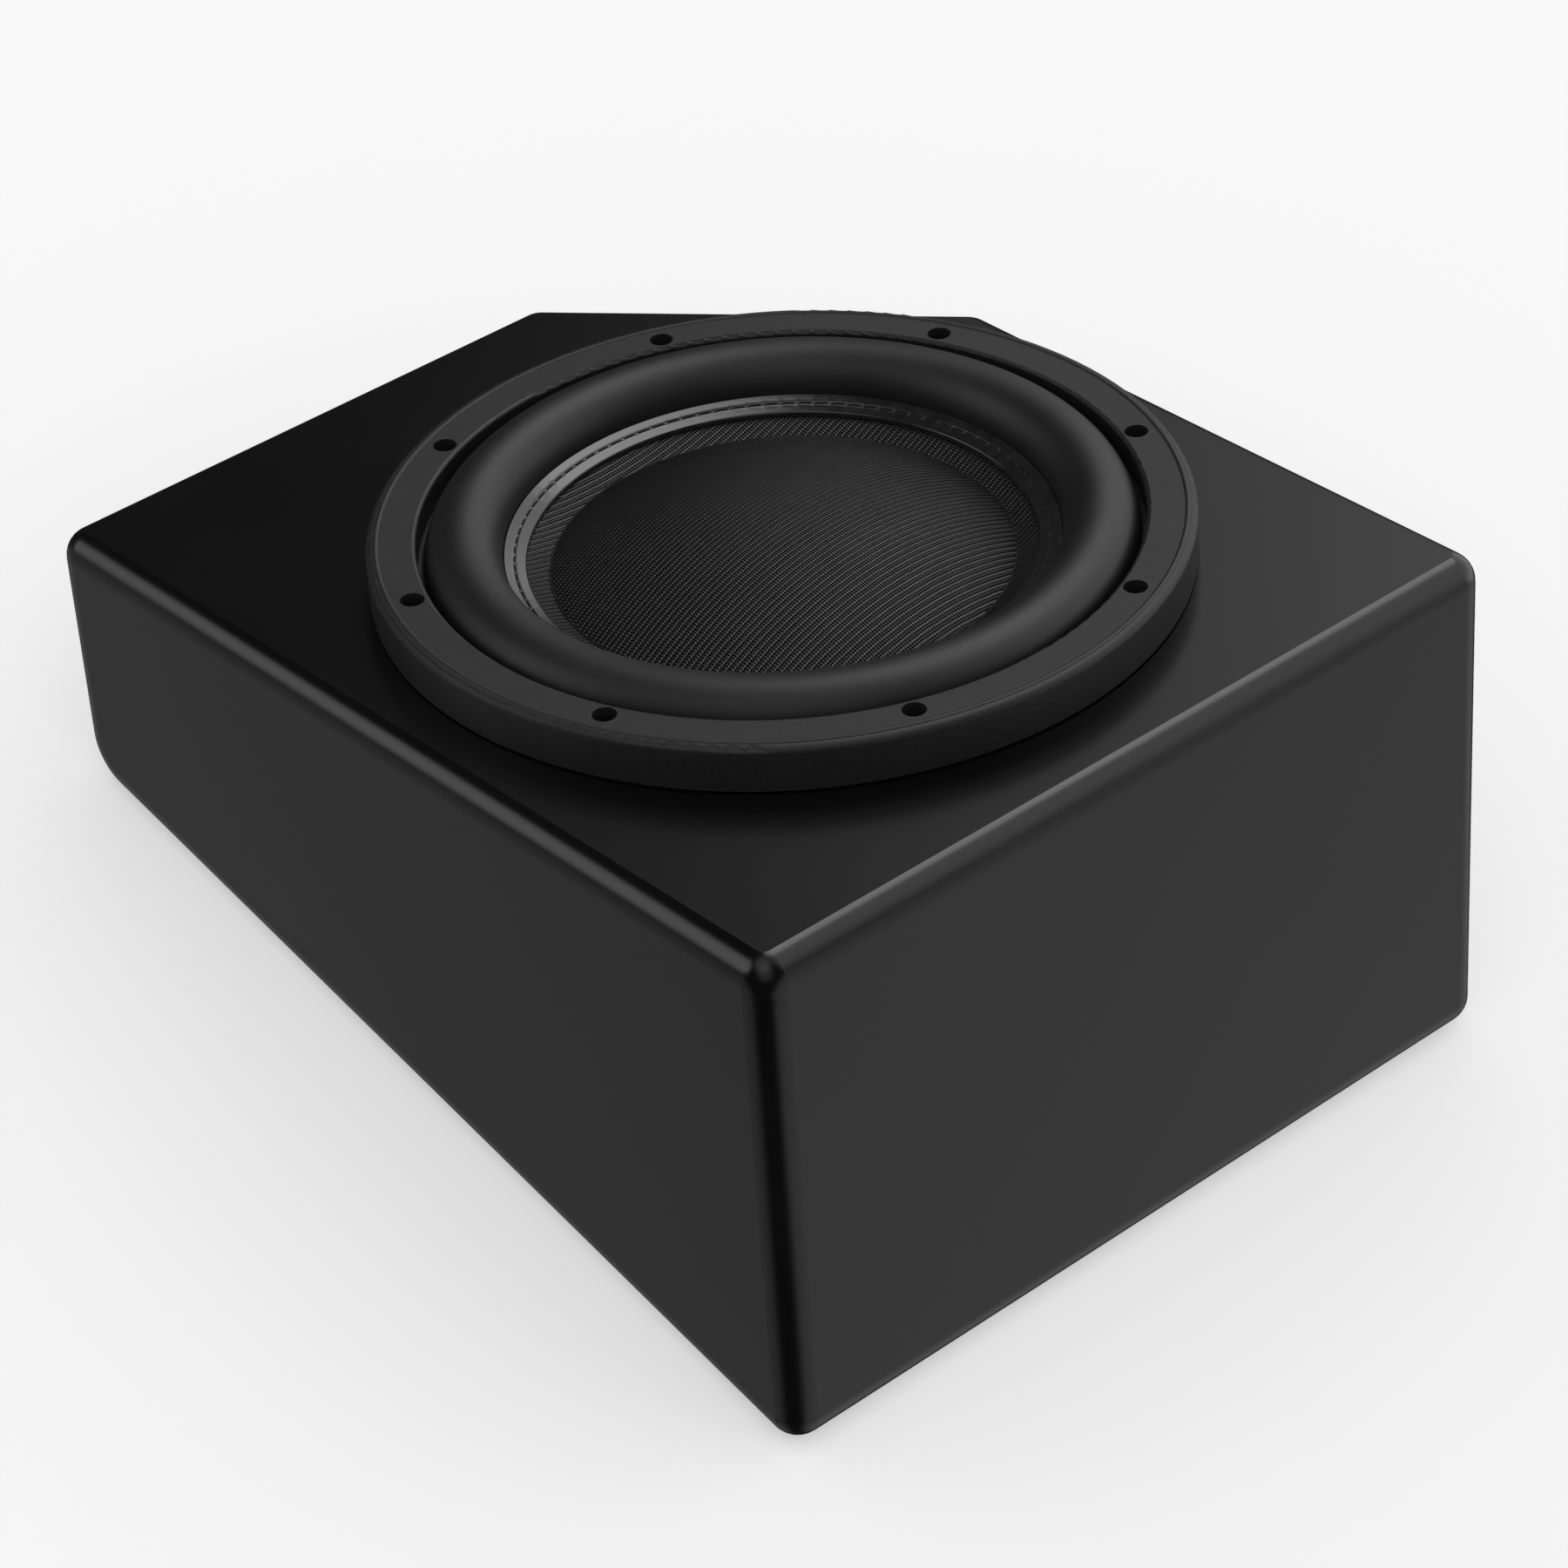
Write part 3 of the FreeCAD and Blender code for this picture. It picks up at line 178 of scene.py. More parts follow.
# ---- shader helpers
class Graph:
    """Short ways to add shader nodes to a tree."""

    ONE_INPUT = ("FLOOR", "COSINE", "SINE")
    # a Mix node has its own sockets for each kind of value: A, B and result
    MIX_SOCKETS = {"FLOAT": (2, 3, 0), "VECTOR": (4, 5, 1), "RGBA": (6, 7, 2)}

    def __init__(self, tree, coordinates):
        self.tree = tree
        self.tree.nodes.clear()
        self.coordinates = self.tree.nodes.new("ShaderNodeTexCoord").outputs[coordinates]

    def link(self, value, socket):
        if isinstance(value, bpy.types.NodeSocket):
            self.tree.links.new(value, socket)
        elif isinstance(value, (tuple, list)) and len(value) == 3 and socket.type == "RGBA":
            socket.default_value = (*value, 1.0)
        else:
            socket.default_value = value

    def math(self, operation, a, b=0.0):
        node = self.tree.nodes.new("ShaderNodeMath")
        node.operation = operation
        self.link(a, node.inputs[0])
        if operation not in self.ONE_INPUT:
            self.link(b, node.inputs[1])
        return node.outputs[0]

    def plus(self, base, share, amount):
        """The base, and that much more where the share is 1."""
        return self.math("ADD", self.math("MULTIPLY", share, amount), base)

    def around(self, middle, share, amount):
        """The middle, moved up and down by half the amount as the share goes from 0 to 1."""
        return self.plus(middle, self.math("SUBTRACT", share, 0.5), amount)

    def vector(self, operation, a, b):
        node = self.tree.nodes.new("ShaderNodeVectorMath")
        node.operation = operation
        self.link(a, node.inputs[0])
        self.link(b, node.inputs[1])
        return node.outputs["Value" if operation == "DOT_PRODUCT" else "Vector"]

    def noise(self, size, detail, roughness=0.5, coordinates=None, distortion=0.0):
        """Noise from 0 to 1, with features about size millimetres across."""
        node = self.tree.nodes.new("ShaderNodeTexNoise")
        node.inputs["Scale"].default_value = 1 / (size * MM)
        node.inputs["Detail"].default_value = detail
        node.inputs["Roughness"].default_value = roughness
        node.inputs["Distortion"].default_value = distortion
        self.tree.links.new(coordinates or self.coordinates, node.inputs["Vector"])
        return node.outputs["Fac"]

    def cells(self, size):
        """Distance to the nearest point of a scattered set about size millimetres apart."""
        node = self.tree.nodes.new("ShaderNodeTexVoronoi")
        node.inputs["Scale"].default_value = 1 / (size * MM)
        self.tree.links.new(self.coordinates, node.inputs["Vector"])
        return node.outputs["Distance"]

    def spread(self, value, low, high, to_low=0.0, to_high=1.0):
        """A smooth step from one value to another as the input goes from low to high."""
        node = self.tree.nodes.new("ShaderNodeMapRange")
        node.interpolation_type = "SMOOTHSTEP"
        for index, number in enumerate((value, low, high, to_low, to_high)):
            self.link(number, node.inputs[index])
        return node.outputs[0]

    def mix(self, share, a, b, kind="RGBA"):
        node = self.tree.nodes.new("ShaderNodeMix")
        node.data_type = kind
        first, second, result = self.MIX_SOCKETS[kind]
        self.link(share, node.inputs[0])
        self.link(a, node.inputs[first])
        self.link(b, node.inputs[second])
        return node.outputs[result]

    def bump(self, height, depth, under=None):
        """A normal from a 0 to 1 height that stands depth millimetres tall."""
        node = self.tree.nodes.new("ShaderNodeBump")
        node.inputs["Strength"].default_value = 1.0
        node.inputs["Distance"].default_value = depth * MM
        self.link(height, node.inputs["Height"])
        if under is not None:
            self.tree.links.new(under, node.inputs["Normal"])
        return node.outputs[0]


class Finish(Graph):
    """A new material's tree with one Principled shader."""

    def __init__(self, name):
        self.material = bpy.data.materials.new(name)
        self.material.use_nodes = True
        super().__init__(self.material.node_tree, "Object")
        output = self.tree.nodes.new("ShaderNodeOutputMaterial")
        self.shader = self.tree.nodes.new("ShaderNodeBsdfPrincipled")
        self.tree.links.new(self.shader.outputs[0], output.inputs[0])

    def set(self, **inputs):
        for key, value in inputs.items():
            self.link(value, self.shader.inputs[key.replace("_", " ")])


def grey(level):
    return (level, level, level)


def plain(name, dark, light, rough, metal=0.0, patch=20.0, grain=0.6, depth=0.02):
    """A general procedural finish: two tones in soft patches, uneven gloss and a fine grain."""
    g = Finish(name)
    patches = g.noise(patch, 4.0, 0.6)
    fine = g.noise(grain, 3.0, 0.65)
    tone = g.mix(g.spread(patches, 0.35, 0.65), dark, light)
    gloss = g.around(g.around(rough, fine, 0.16), patches, 0.12)
    g.set(Base_Color=tone, Roughness=gloss, Metallic=metal, Normal=g.bump(fine, depth))
    return g.material


def upright_streaks(g, size):
    """Noise drawn out upwards, for plated or turned metal."""
    stretch = 25.0
    node = g.tree.nodes.new("ShaderNodeMapping")
    node.inputs["Scale"].default_value = (1.0, 1.0, 1.0 / stretch)
    g.tree.links.new(g.coordinates, node.inputs["Vector"])
    return g.noise(size, 3.0, 0.6, coordinates=node.outputs[0])


# ---- weave
YARN = 0.885               # millimetres from yarn to yarn of the 2/2 twill
TWILL_TURN = 4.5           # the ribs run this many degrees from the cabinet's width
WARP_SHIFT = 0.5           # warp yarn n floats about weft place n + this, and every 4 yarns from there
WEFT_SHIFT = 2.5           # weft yarn n floats about warp place n + this, and every 4 yarns from there
BULGE = 1.8                # a yarn's section: 0 is flat, 2 falls to nothing at its sides
RIDE = 0.6                 # share of the height that comes from going over and under; the rest is bulge


def yarn_directions():
    """Unit vectors across the warp and across the weft, in the row frame."""
    turns = (math.radians(TWILL_TURN - 45), math.radians(TWILL_TURN + 45))
    return [ACROSS * math.cos(turn) + ALONG * math.sin(turn) for turn in turns]


WARP_ACROSS, WEFT_ACROSS = yarn_directions()


def weave_height(a, b):
    """Height, at most 1, of a 2/2 twill at yarn coordinates a (across warp) and b (across weft)."""
    i = np.floor(a)
    j = np.floor(b)
    round_a = 1 - (BULGE * (a - i - 0.5)) ** 2
    round_b = 1 - (BULGE * (b - j - 0.5)) ** 2
    over_a = np.cos(math.pi / 2 * (i + WARP_SHIFT - b))
    over_b = np.cos(math.pi / 2 * (j + WEFT_SHIFT - a))
    return np.maximum(RIDE * over_a + (1 - RIDE) * round_a, RIDE * over_b + (1 - RIDE) * round_b)


def weave_material(name, dark, light):
    """Twill cloth: the same weave as weave_height, with each yarn's gloss drawn out across it, and a painted shade
    in the gaps between the yarns.
    """
    g = Finish(name)
    relief = 0.26
    fibres_per_yarn = 5
    fibre_height = 0.025
    weft_dullness = 0.5
    local = g.vector("SUBTRACT", g.coordinates, tuple(ORIGIN))
    a = g.vector("DOT_PRODUCT", local, tuple(WARP_ACROSS / (YARN * MM)))
    b = g.vector("DOT_PRODUCT", local, tuple(WEFT_ACROSS / (YARN * MM)))
    wander = g.around(0.0, g.noise(11.0, 1.0), 0.35)
    a = g.math("ADD", a, wander)
    b = g.math("SUBTRACT", b, wander)

    def yarn(across, along, shift):
        index = g.math("FLOOR", across)
        off = g.math("MULTIPLY", g.math("SUBTRACT", g.math("SUBTRACT", across, index), 0.5), BULGE)
        bulge = g.math("SUBTRACT", 1.0, g.math("MULTIPLY", off, off))
        phase = g.math("SUBTRACT", g.math("ADD", index, shift), along)
        over = g.math("COSINE", g.math("MULTIPLY", phase, math.pi / 2))
        return g.plus(g.math("MULTIPLY", bulge, 1 - RIDE), over, RIDE)

    warp = yarn(a, b, WARP_SHIFT)
    weft = yarn(b, a, WEFT_SHIFT)
    is_weft = g.math("GREATER_THAN", weft, warp)
    top = g.math("MAXIMUM", warp, weft)
    waves = [g.math("SINE", g.math("MULTIPLY", place, 2 * math.pi * fibres_per_yarn)) for place in (a, b)]
    height = g.plus(top, g.mix(is_weft, *waves), fibre_height)
    crown = g.spread(top, 0.42, 0.86)
    patches = g.noise(4.0, 2.0)
    yarn_tone = g.mix(g.spread(patches, 0.3, 0.7), dark, light)
    gap_roughness = g.math("MULTIPLY", g.math("SUBTRACT", 1.0, crown), 0.4)
    g.set(
        # painted shade: the gaps between the yarns' crowns are coloured near black
        Base_Color=g.mix(crown, grey(0.0008), yarn_tone),
        Roughness=g.math("ADD", g.around(0.38, patches, 0.15), gap_roughness),
        Anisotropic=0.95,
        Specular_IOR_Level=g.math("MULTIPLY", crown, g.plus(1.0, is_weft, -weft_dullness)),
        Normal=g.bump(height, relief),
        Tangent=g.mix(is_weft, tuple(WARP_ACROSS), tuple(WEFT_ACROSS), "VECTOR"),
    )
    return g.material


# ---- materials
def cabinet_coat():
    """Smooth black lacquer: very slight orange peel, tiny dust specks, soft wear in the gloss."""
    g = Finish("cabinet_coat")
    peel = g.noise(4.5, 2.0, 0.5)
    fine = g.noise(0.5, 2.0, 0.6)
    broad = g.noise(90.0, 3.0, 0.5)
    specks = g.spread(g.cells(9.0), 0.030, 0.045, 1.0, 0.0)
    sparse = g.spread(g.noise(20.0, 1.0), 0.56, 0.62)
    dust = g.math("MULTIPLY", specks, sparse)
    tone = g.mix(g.spread(broad, 0.3, 0.7), grey(0.0024), grey(0.0032))
    tone = g.mix(dust, tone, grey(0.03))
    gloss = g.plus(g.around(0.20, broad, 0.05), fine, 0.05)
    surface = g.bump(peel, 0.006)
    surface = g.bump(fine, 0.0022, under=surface)
    g.set(Base_Color=tone, Roughness=gloss, Normal=surface, Specular_IOR_Level=0.5)
    return g.material


def ring_rubber():
    """Matte moulded rubber with a fine grain; its crests carry painted glints."""
    g = Finish("ring_rubber")
    grain = g.noise(0.45, 3.0, 0.7)
    pits = g.cells(0.9)
    broad = g.noise(30.0, 3.0, 0.6)
    tone = g.mix(g.spread(broad, 0.3, 0.7), grey(0.008), grey(0.011))
    # painted glints: the grain's crests are coloured lighter
    tone = g.mix(g.spread(grain, 0.52, 0.70), tone, grey(0.040))
    gloss = g.plus(0.42, grain, 0.2)
    surface = g.bump(grain, 0.06)
    surface = g.bump(pits, 0.02, under=surface)
    g.set(Base_Color=tone, Roughness=gloss, Normal=surface)
    return g.material


def roll_rubber():
    """Smooth satin butyl rubber with a faint bloom and mould flow around the roll."""
    g = Finish("roll_rubber")
    broad = g.noise(35.0, 3.0, 0.5)
    fine = g.noise(0.6, 3.0, 0.6)
    tone = g.mix(g.spread(broad, 0.3, 0.7), grey(0.007), grey(0.010))
    gloss = g.plus(g.around(0.46, broad, 0.08), fine, 0.08)
    g.set(Base_Color=tone, Roughness=gloss, Normal=g.bump(fine, 0.006))
    return g.material


def band_gloss():
    """Glossy moulded band: clear glue film, slightly rippled."""
    g = Finish("band_gloss")
    ripple = g.noise(6.0, 2.0, 0.5)
    fine = g.noise(0.8, 3.0, 0.6)
    tone = g.mix(g.spread(ripple, 0.35, 0.65), grey(0.014), grey(0.021))
    gloss = g.plus(0.13, ripple, 0.08)
    surface = g.bump(ripple, 0.05)
    surface = g.bump(fine, 0.008, under=surface)
    g.set(Base_Color=tone, Roughness=gloss, Normal=surface, Coat_Weight=0.35, Coat_Roughness=0.06)
    return g.material


def twisted_thread():
    """Black waxed sewing thread."""
    g = Finish("seam_cord")
    strands = g.noise(0.3, 2.0, 0.6)
    tone = g.mix(strands, grey(0.002), grey(0.008))
    g.set(Base_Color=tone, Roughness=0.6, Specular_IOR_Level=0.25, Normal=g.bump(strands, 0.06))
    return g.material


def wadding():
    """Grey white polyester wadding with tangled fibres."""
    g = Finish("wadding")
    tangle = g.noise(1.5, 5.0, 0.7, distortion=2.5)
    clumps = g.noise(12.0, 3.0, 0.6)
    tone = g.mix(g.spread(tangle, 0.35, 0.65), (0.45, 0.46, 0.47), (0.72, 0.72, 0.70))
    tone = g.mix(g.math("MULTIPLY", clumps, 0.4), tone, (0.35, 0.36, 0.38))
    g.set(Base_Color=tone, Roughness=0.95, Normal=g.bump(tangle, 0.6), Sheen_Weight=0.3)
    return g.material


def raw_board():
    """Bare fibreboard."""
    g = Finish("raw_board")
    flecks = g.noise(1.4, 4.0, 0.75)
    broad = g.noise(30.0, 3.0, 0.5)
    tone = g.mix(g.spread(flecks, 0.35, 0.68), (0.23, 0.145, 0.08), (0.42, 0.29, 0.17))
    tone = g.mix(g.math("MULTIPLY", broad, 0.3), tone, (0.30, 0.20, 0.12))
    g.set(Base_Color=tone, Roughness=0.85, Normal=g.bump(flecks, 0.12))
    return g.material


def metal(name, dark, light, rough, size=0.6):
    """Plated or turned metal with streaks."""
    g = Finish(name)
    lines = upright_streaks(g, size)
    patches = g.noise(8.0, 4.0, 0.6)
    tone = g.mix(g.spread(patches, 0.3, 0.7), dark, light)
    gloss = g.plus(rough, lines, 0.2)
    g.set(Base_Color=tone, Metallic=1.0, Roughness=gloss, Normal=g.bump(lines, 0.008))
    return g.material


def spider_cloth():
    """Resin-soaked cotton cloth with a square weave."""
    g = Finish("spider_cloth")
    thread = 0.9 * MM
    waves = []
    for direction in (ACROSS, ALONG):
        place = g.vector("DOT_PRODUCT", g.coordinates, tuple(direction / thread))
        waves.append(g.math("SINE", g.math("MULTIPLY", place, 2 * math.pi)))
    cloth = g.plus(0.5, g.math("MULTIPLY", *waves), 0.5)
    patches = g.noise(10.0, 3.0, 0.6)
    tone = g.mix(cloth, (0.42, 0.25, 0.10), (0.66, 0.46, 0.24))
    tone = g.mix(g.math("MULTIPLY", patches, 0.4), tone, (0.50, 0.32, 0.15))
    g.set(Base_Color=tone, Roughness=0.8, Normal=g.bump(cloth, 0.15))
    return g.material


def braid():
    """Tinned copper braid."""
    g = Finish("lead_braid")
    strands = g.cells(0.6)
    tone = g.mix(g.spread(strands, 0.1, 0.6), (0.80, 0.55, 0.38), (0.35, 0.2, 0.12))
    g.set(Base_Color=tone, Metallic=1.0, Roughness=0.4, Normal=g.bump(strands, 0.2))
    return g.material


MATERIALS = {
    "cabinet_coat": cabinet_coat(),
    "raw_board": raw_board(),
    "wadding": wadding(),
    "ring_rubber": ring_rubber(),
    "roll_rubber": roll_rubber(),
    "band_gloss": band_gloss(),
    "seam_cord": twisted_thread(),
    "cone_weave": weave_material("cone_weave", grey(0.006), grey(0.012)),
    "cap_weave": weave_material("cap_weave", grey(0.005), grey(0.009)),
    "cast_frame": plain("cast_frame", grey(0.02), grey(0.032), 0.55, 0.2, grain=0.9, depth=0.06),
    "black_foam": plain("black_foam", grey(0.012), grey(0.03), 0.95, grain=0.8, depth=0.4),
    "zinc_steel": metal("zinc_steel", (0.55, 0.53, 0.48), (0.72, 0.71, 0.68), 0.28),
    "black_screw": plain("black_screw", grey(0.012), grey(0.022), 0.35, 0.6, patch=2.0, grain=0.3),
    "motor_steel": metal("motor_steel", (0.42, 0.42, 0.43), (0.56, 0.56, 0.57), 0.32),
    "ferrite": plain("ferrite", (0.035, 0.036, 0.04), (0.06, 0.06, 0.065), 0.6, 0.1, depth=0.08),
    "copper": metal("copper", (0.72, 0.32, 0.18), (0.85, 0.43, 0.27), 0.25, size=0.3),
    "former_sheet": metal("former_sheet", (0.62, 0.62, 0.62), (0.75, 0.75, 0.76), 0.3),
    "spider_cloth": spider_cloth(),
    "boot_rubber": plain("boot_rubber", grey(0.012), grey(0.02), 0.6, grain=0.7, depth=0.03),
    "screen_steel": metal("screen_steel", (0.25, 0.25, 0.26), (0.35, 0.35, 0.36), 0.4),
    "cup_plastic": plain("cup_plastic", grey(0.014), grey(0.022), 0.42, grain=0.5, depth=0.03),
    "lever_red": plain("lever_red", (0.42, 0.012, 0.010), (0.55, 0.025, 0.02), 0.33, grain=0.4),
    "lever_black": plain("lever_black", grey(0.010), grey(0.018), 0.33, grain=0.4),
    "terminal_brass": metal("terminal_brass", (0.70, 0.48, 0.20), (0.83, 0.62, 0.32), 0.27, size=0.4),
    "wire_red": plain("wire_red", (0.40, 0.012, 0.010), (0.52, 0.02, 0.02), 0.4, patch=5.0),
    "wire_black": plain("wire_black", grey(0.010), grey(0.02), 0.4, patch=5.0),
    "connector_vinyl": plain("connector_vinyl", (0.55, 0.50, 0.36), (0.66, 0.61, 0.46), 0.5, patch=4.0),
    "lead_braid": braid(),
    "board_phenolic": plain("board_phenolic", (0.10, 0.045, 0.018), (0.16, 0.075, 0.03), 0.5, patch=6.0),
}


# width of the bevel on the edges that show, in millimetres
BEVELS = {"trim_ring": 0.35, "terminal_cup": 0.3, "red_lever": 0.25, "black_lever": 0.25}
SHARP_ANGLE = math.radians(32.0)
BEVEL_ANGLE = math.radians(40.0)


def dress_cad():
    """Gives every CAD node its slot's material, smooth shading and, where edges show, a fine bevel."""
    slots = {part["node"]: part["material_slot"] for part in frame["record"]["subparts"]}
    for name, node in nodes.items():
        mesh = node.data
        mesh.materials.clear()
        mesh.materials.append(MATERIALS[slots[name]])
        mesh.shade_smooth()
        mesh.set_sharp_from_angle(angle=SHARP_ANGLE)
        if name in BEVELS:
            bevel = node.modifiers.new("soft_edges", "BEVEL")
            bevel.width = BEVELS[name] * MM
            bevel.segments = 3
            bevel.limit_method = "ANGLE"
            bevel.angle_limit = BEVEL_ANGLE
            bevel.harden_normals = True
        weighted = node.modifiers.new("even_faces", "WEIGHTED_NORMAL")
        weighted.keep_sharp = True


# ---- pieces of the driver, in millimetres of the driver's frame
CONE_IN, CONE_OUT, CONE_LOW, CONE_HIGH = reach("cone")
_, CAP_R, _, CAP_TOP = reach("dust_cap")
BAND_IN, BAND_OUT, _, BAND_HIGH = reach("edge_band")
_, SKIN_OUT, _, SKIN_HIGH = reach("surround")
RING_IN = reach("trim_ring")[0]
SEAM_R = sum(reach("seam_thread")[:2]) / 2
STITCHES = 96
HALF_STITCH = math.pi * SEAM_R / STITCHES   # half the seam's length from hole to hole
SLOPE = CONE_HIGH / (CONE_OUT - CAP_R)      # the cone's top passes through height 0 at the cap's rim


def cone_top(r):
    """Height of the cone's upper side at radius r, outside its bend."""
    return (r - CAP_R) * SLOPE


def on_cone(r, above=0.0):
    """An outline's point at radius r, a given height above the cone's upper side."""
    return r, cone_top(r) + above


BAND_TOP = BAND_HIGH - cone_top(BAND_OUT)   # height of the band's upper side above the cone
FOOT_ROOM = 1.4                             # room under the band for the surround's foot


def lip_height():
    """Height of the upper side of the surround's lip, which the trim ring holds down."""
    radius, height = radius_and_height(nodes["surround"])
    rim = 0.5
    return float(height[radius > SKIN_OUT - rim].max())


def build_surround():
    """The rubber half roll, with a small foot inside and a lip under the trim ring."""
    wall = 2.0                # thickness of the roll and its lip
    foot = 1.2                # height of the foot's top above the cone
    glue = 0.1                # height of its underside
    roll_z = 10.0             # height of the roll's middle line
    band_gap = 0.1
    ring_gap = 2.5
    lip_reach = 4.0           # from the roll's outside to the lip's edge
    middle = (BAND_OUT + band_gap + RING_IN - ring_gap) / 2
    minor = SKIN_HIGH - roll_z
    start = BAND_IN + 1.5
    joint_in = middle - minor
    joint_out = middle + minor
    wall_in = joint_in + wall
    lip_in = joint_out + 0.35
    lip_out = joint_out + lip_reach
    lip_top = lip_height()
    lip_low = lip_top - wall + 0.01
    outline = line(on_cone(start, foot), on_cone(joint_in, foot), 6)
    outline += line(on_cone(joint_in, foot), (joint_in, roll_z), 3)
    outline += arc((middle, roll_z), minor, 180, 0, 72)
    outline += line((joint_out, roll_z - 0.4), (lip_in, lip_top), 3)
    outline += line((lip_in, lip_top), (lip_out, lip_top), 3)
    outline += line((lip_out, lip_top), (lip_out, lip_low), 2)
    outline += line((lip_out, lip_low), (joint_out - wall, lip_low), 3)
    outline += arc((middle, roll_z), minor - wall, 0, 180, 40)
    outline += line((wall_in, roll_z - 0.5), on_cone(wall_in, glue), 3)
    outline += line(on_cone(wall_in, glue), on_cone(start, glue), 6)
    skin = lathe("surround_roll", outline, 320, MATERIALS["roll_rubber"])
    hand_over_bending(skin, "surround", still=joint_out, moving=joint_in)


def band_outline():
    """The band's section: a strip with rounded rims and an inner foot that stands on the cone."""
    rim = 0.45                # radius of the rounded rims
    rim_steps = 5
    foot_out = BAND_IN + 1.4
    glue = 0.02
    near = BAND_IN + rim
    far = BAND_OUT - rim
    outline = line(on_cone(BAND_IN, glue), on_cone(BAND_IN, BAND_TOP - rim), 4)
    for turn in np.linspace(0, math.pi / 2, rim_steps)[1:]:
        outline.append(on_cone(near - rim * math.cos(turn), BAND_TOP - rim * (1 - math.sin(turn))))
    outline += [on_cone(r, BAND_TOP) for r in np.linspace(near, far, 44)[1:-1]]
    for turn in np.linspace(0, math.pi / 2, rim_steps):
        outline.append(on_cone(far + rim * math.sin(turn), BAND_TOP - rim * (1 - math.cos(turn))))
    outline += line(on_cone(BAND_OUT, FOOT_ROOM), on_cone(foot_out, FOOT_ROOM), 4)
    outline += line(on_cone(foot_out, FOOT_ROOM), on_cone(foot_out, glue), 2)
    outline.append(on_cone(foot_out, glue))
    return outline


def hump(distance, width):
    """1 at no distance, and close to 0 at twice the width."""
    return np.exp(-((distance / width) ** 2))


def seam_relief(r, a):
    """Relief of the band along the seam: a groove, a hole at each stitch's end, swells on both sides."""
    groove_depth = 0.24
    hole_depth = 0.14
    swell_height = 0.035
    swell_off = 1.1
    generator = np.random.default_rng(7)
    strengths = generator.uniform(0.6, 1.3, STITCHES)
    shifts = generator.normal(0, 0.12, STITCHES)
    place = a / (2 * math.pi) * STITCHES
    index = np.floor(place).astype(int) % STITCHES
    along = (place - np.floor(place) - 0.5) * 2 * HALF_STITCH
    to_hole = HALF_STITCH - np.abs(along)
    off = r - SEAM_R
    groove = groove_depth * hump(off, 0.55)
    hole = hole_depth * strengths[index] * hump(to_hole, 0.5) * hump(off - shifts[index], 0.8)
    swell = swell_height * np.cos(along / HALF_STITCH * math.pi / 2) * hump(np.abs(off) - swell_off, 0.8)
    return swell - groove - hole


def build_band():
    """The glossy band: rounded rims, a groove under the seam and a pucker at every stitch."""
    steps_per_stitch = 14

    def shape(r, h, a):
        """Only the upper side takes the relief, and its circles wander a little."""
        top = h > cone_top(r) + FOOT_ROOM + 0.1
        wander = 0.030 * np.sin(7 * a) + 0.024 * np.sin(13 * a + 1)
        return r + np.where(top, wander, 0), h + np.where(top, seam_relief(r, a), 0)

    steps = STITCHES * steps_per_stitch
    band = lathe("edge_band_gloss", band_outline(), steps, MATERIALS["band_gloss"], shape)
    hand_over(band, "cone_assembly", "band_gloss", "edge_band")


def tube_points(path, radii, sides):
    """Rings of points around a path, each ring with its own radius."""
    tangent = np.gradient(path, axis=0)
    tangent /= np.linalg.norm(tangent, axis=1)[:, None]
    turn = 2 * math.pi * np.arange(sides) / sides
    rings = []
    for centre, direction, radius in zip(path, tangent, radii):
        first = np.cross(direction, AXIS)
        first /= np.linalg.norm(first)
        second = np.cross(direction, first)
        rings.append(centre + radius * (np.outer(np.cos(turn), first) + np.outer(np.sin(turn), second)))
    return np.concatenate(rings)


def build_stitches():
    """The seam's visible thread: one short, half-sunk stitch after another."""
    generator = np.random.default_rng(11)
    step = 2 * math.pi / STITCHES
    rings = 13
    sides = 8
    thread_r = 0.36
    sunk = 0.14               # the thread's middle line below the band's top
    dive = 0.55               # how far its ends go down into their holes
    level = 0.62              # the share of each half that lies level
    share = np.linspace(-1, 1, rings)
    dip = dive * np.clip(np.abs(share) - level, 0, 1) / (1 - level)
    height = cone_top(SEAM_R) + BAND_TOP - sunk - dip
    taper = np.sqrt(np.clip(1 - np.abs(share) ** 6, 0.02, 1))
    points = []
    quads = []
    for index in range(STITCHES):
        middle = (index + 0.5) * step + generator.normal(0, 0.001)
        half = step * generator.uniform(0.42, 0.47)
        tilt = generator.normal(0, 0.10)
        angle = middle + half * share
        r = SEAM_R + tilt * share
        path = in_row(r * np.cos(angle), r * np.sin(angle), height)
        points.append(tube_points(path, thread_r * MM * taper, sides))
        quads.append(grid_quads(rings, sides, close_rows=False, offset=index * rings * sides))
    points = np.concatenate(points)
    quads = np.concatenate(quads)
    thread = mesh_object("seam_stitches", points, quads, MATERIALS["seam_cord"])
    hand_over(thread, "cone_assembly", "seam_cord", "seam_thread")


def weave_lift(x, y, depth):
    """Weave relief at driver frame x and y, with depth from gap to crown."""
    place = np.outer(x, ACROSS) + np.outer(y, ALONG)
    mean = 0.6
    return depth * (weave_height(place @ WARP_ACROSS / YARN, place @ WEFT_ACROSS / YARN) - mean)


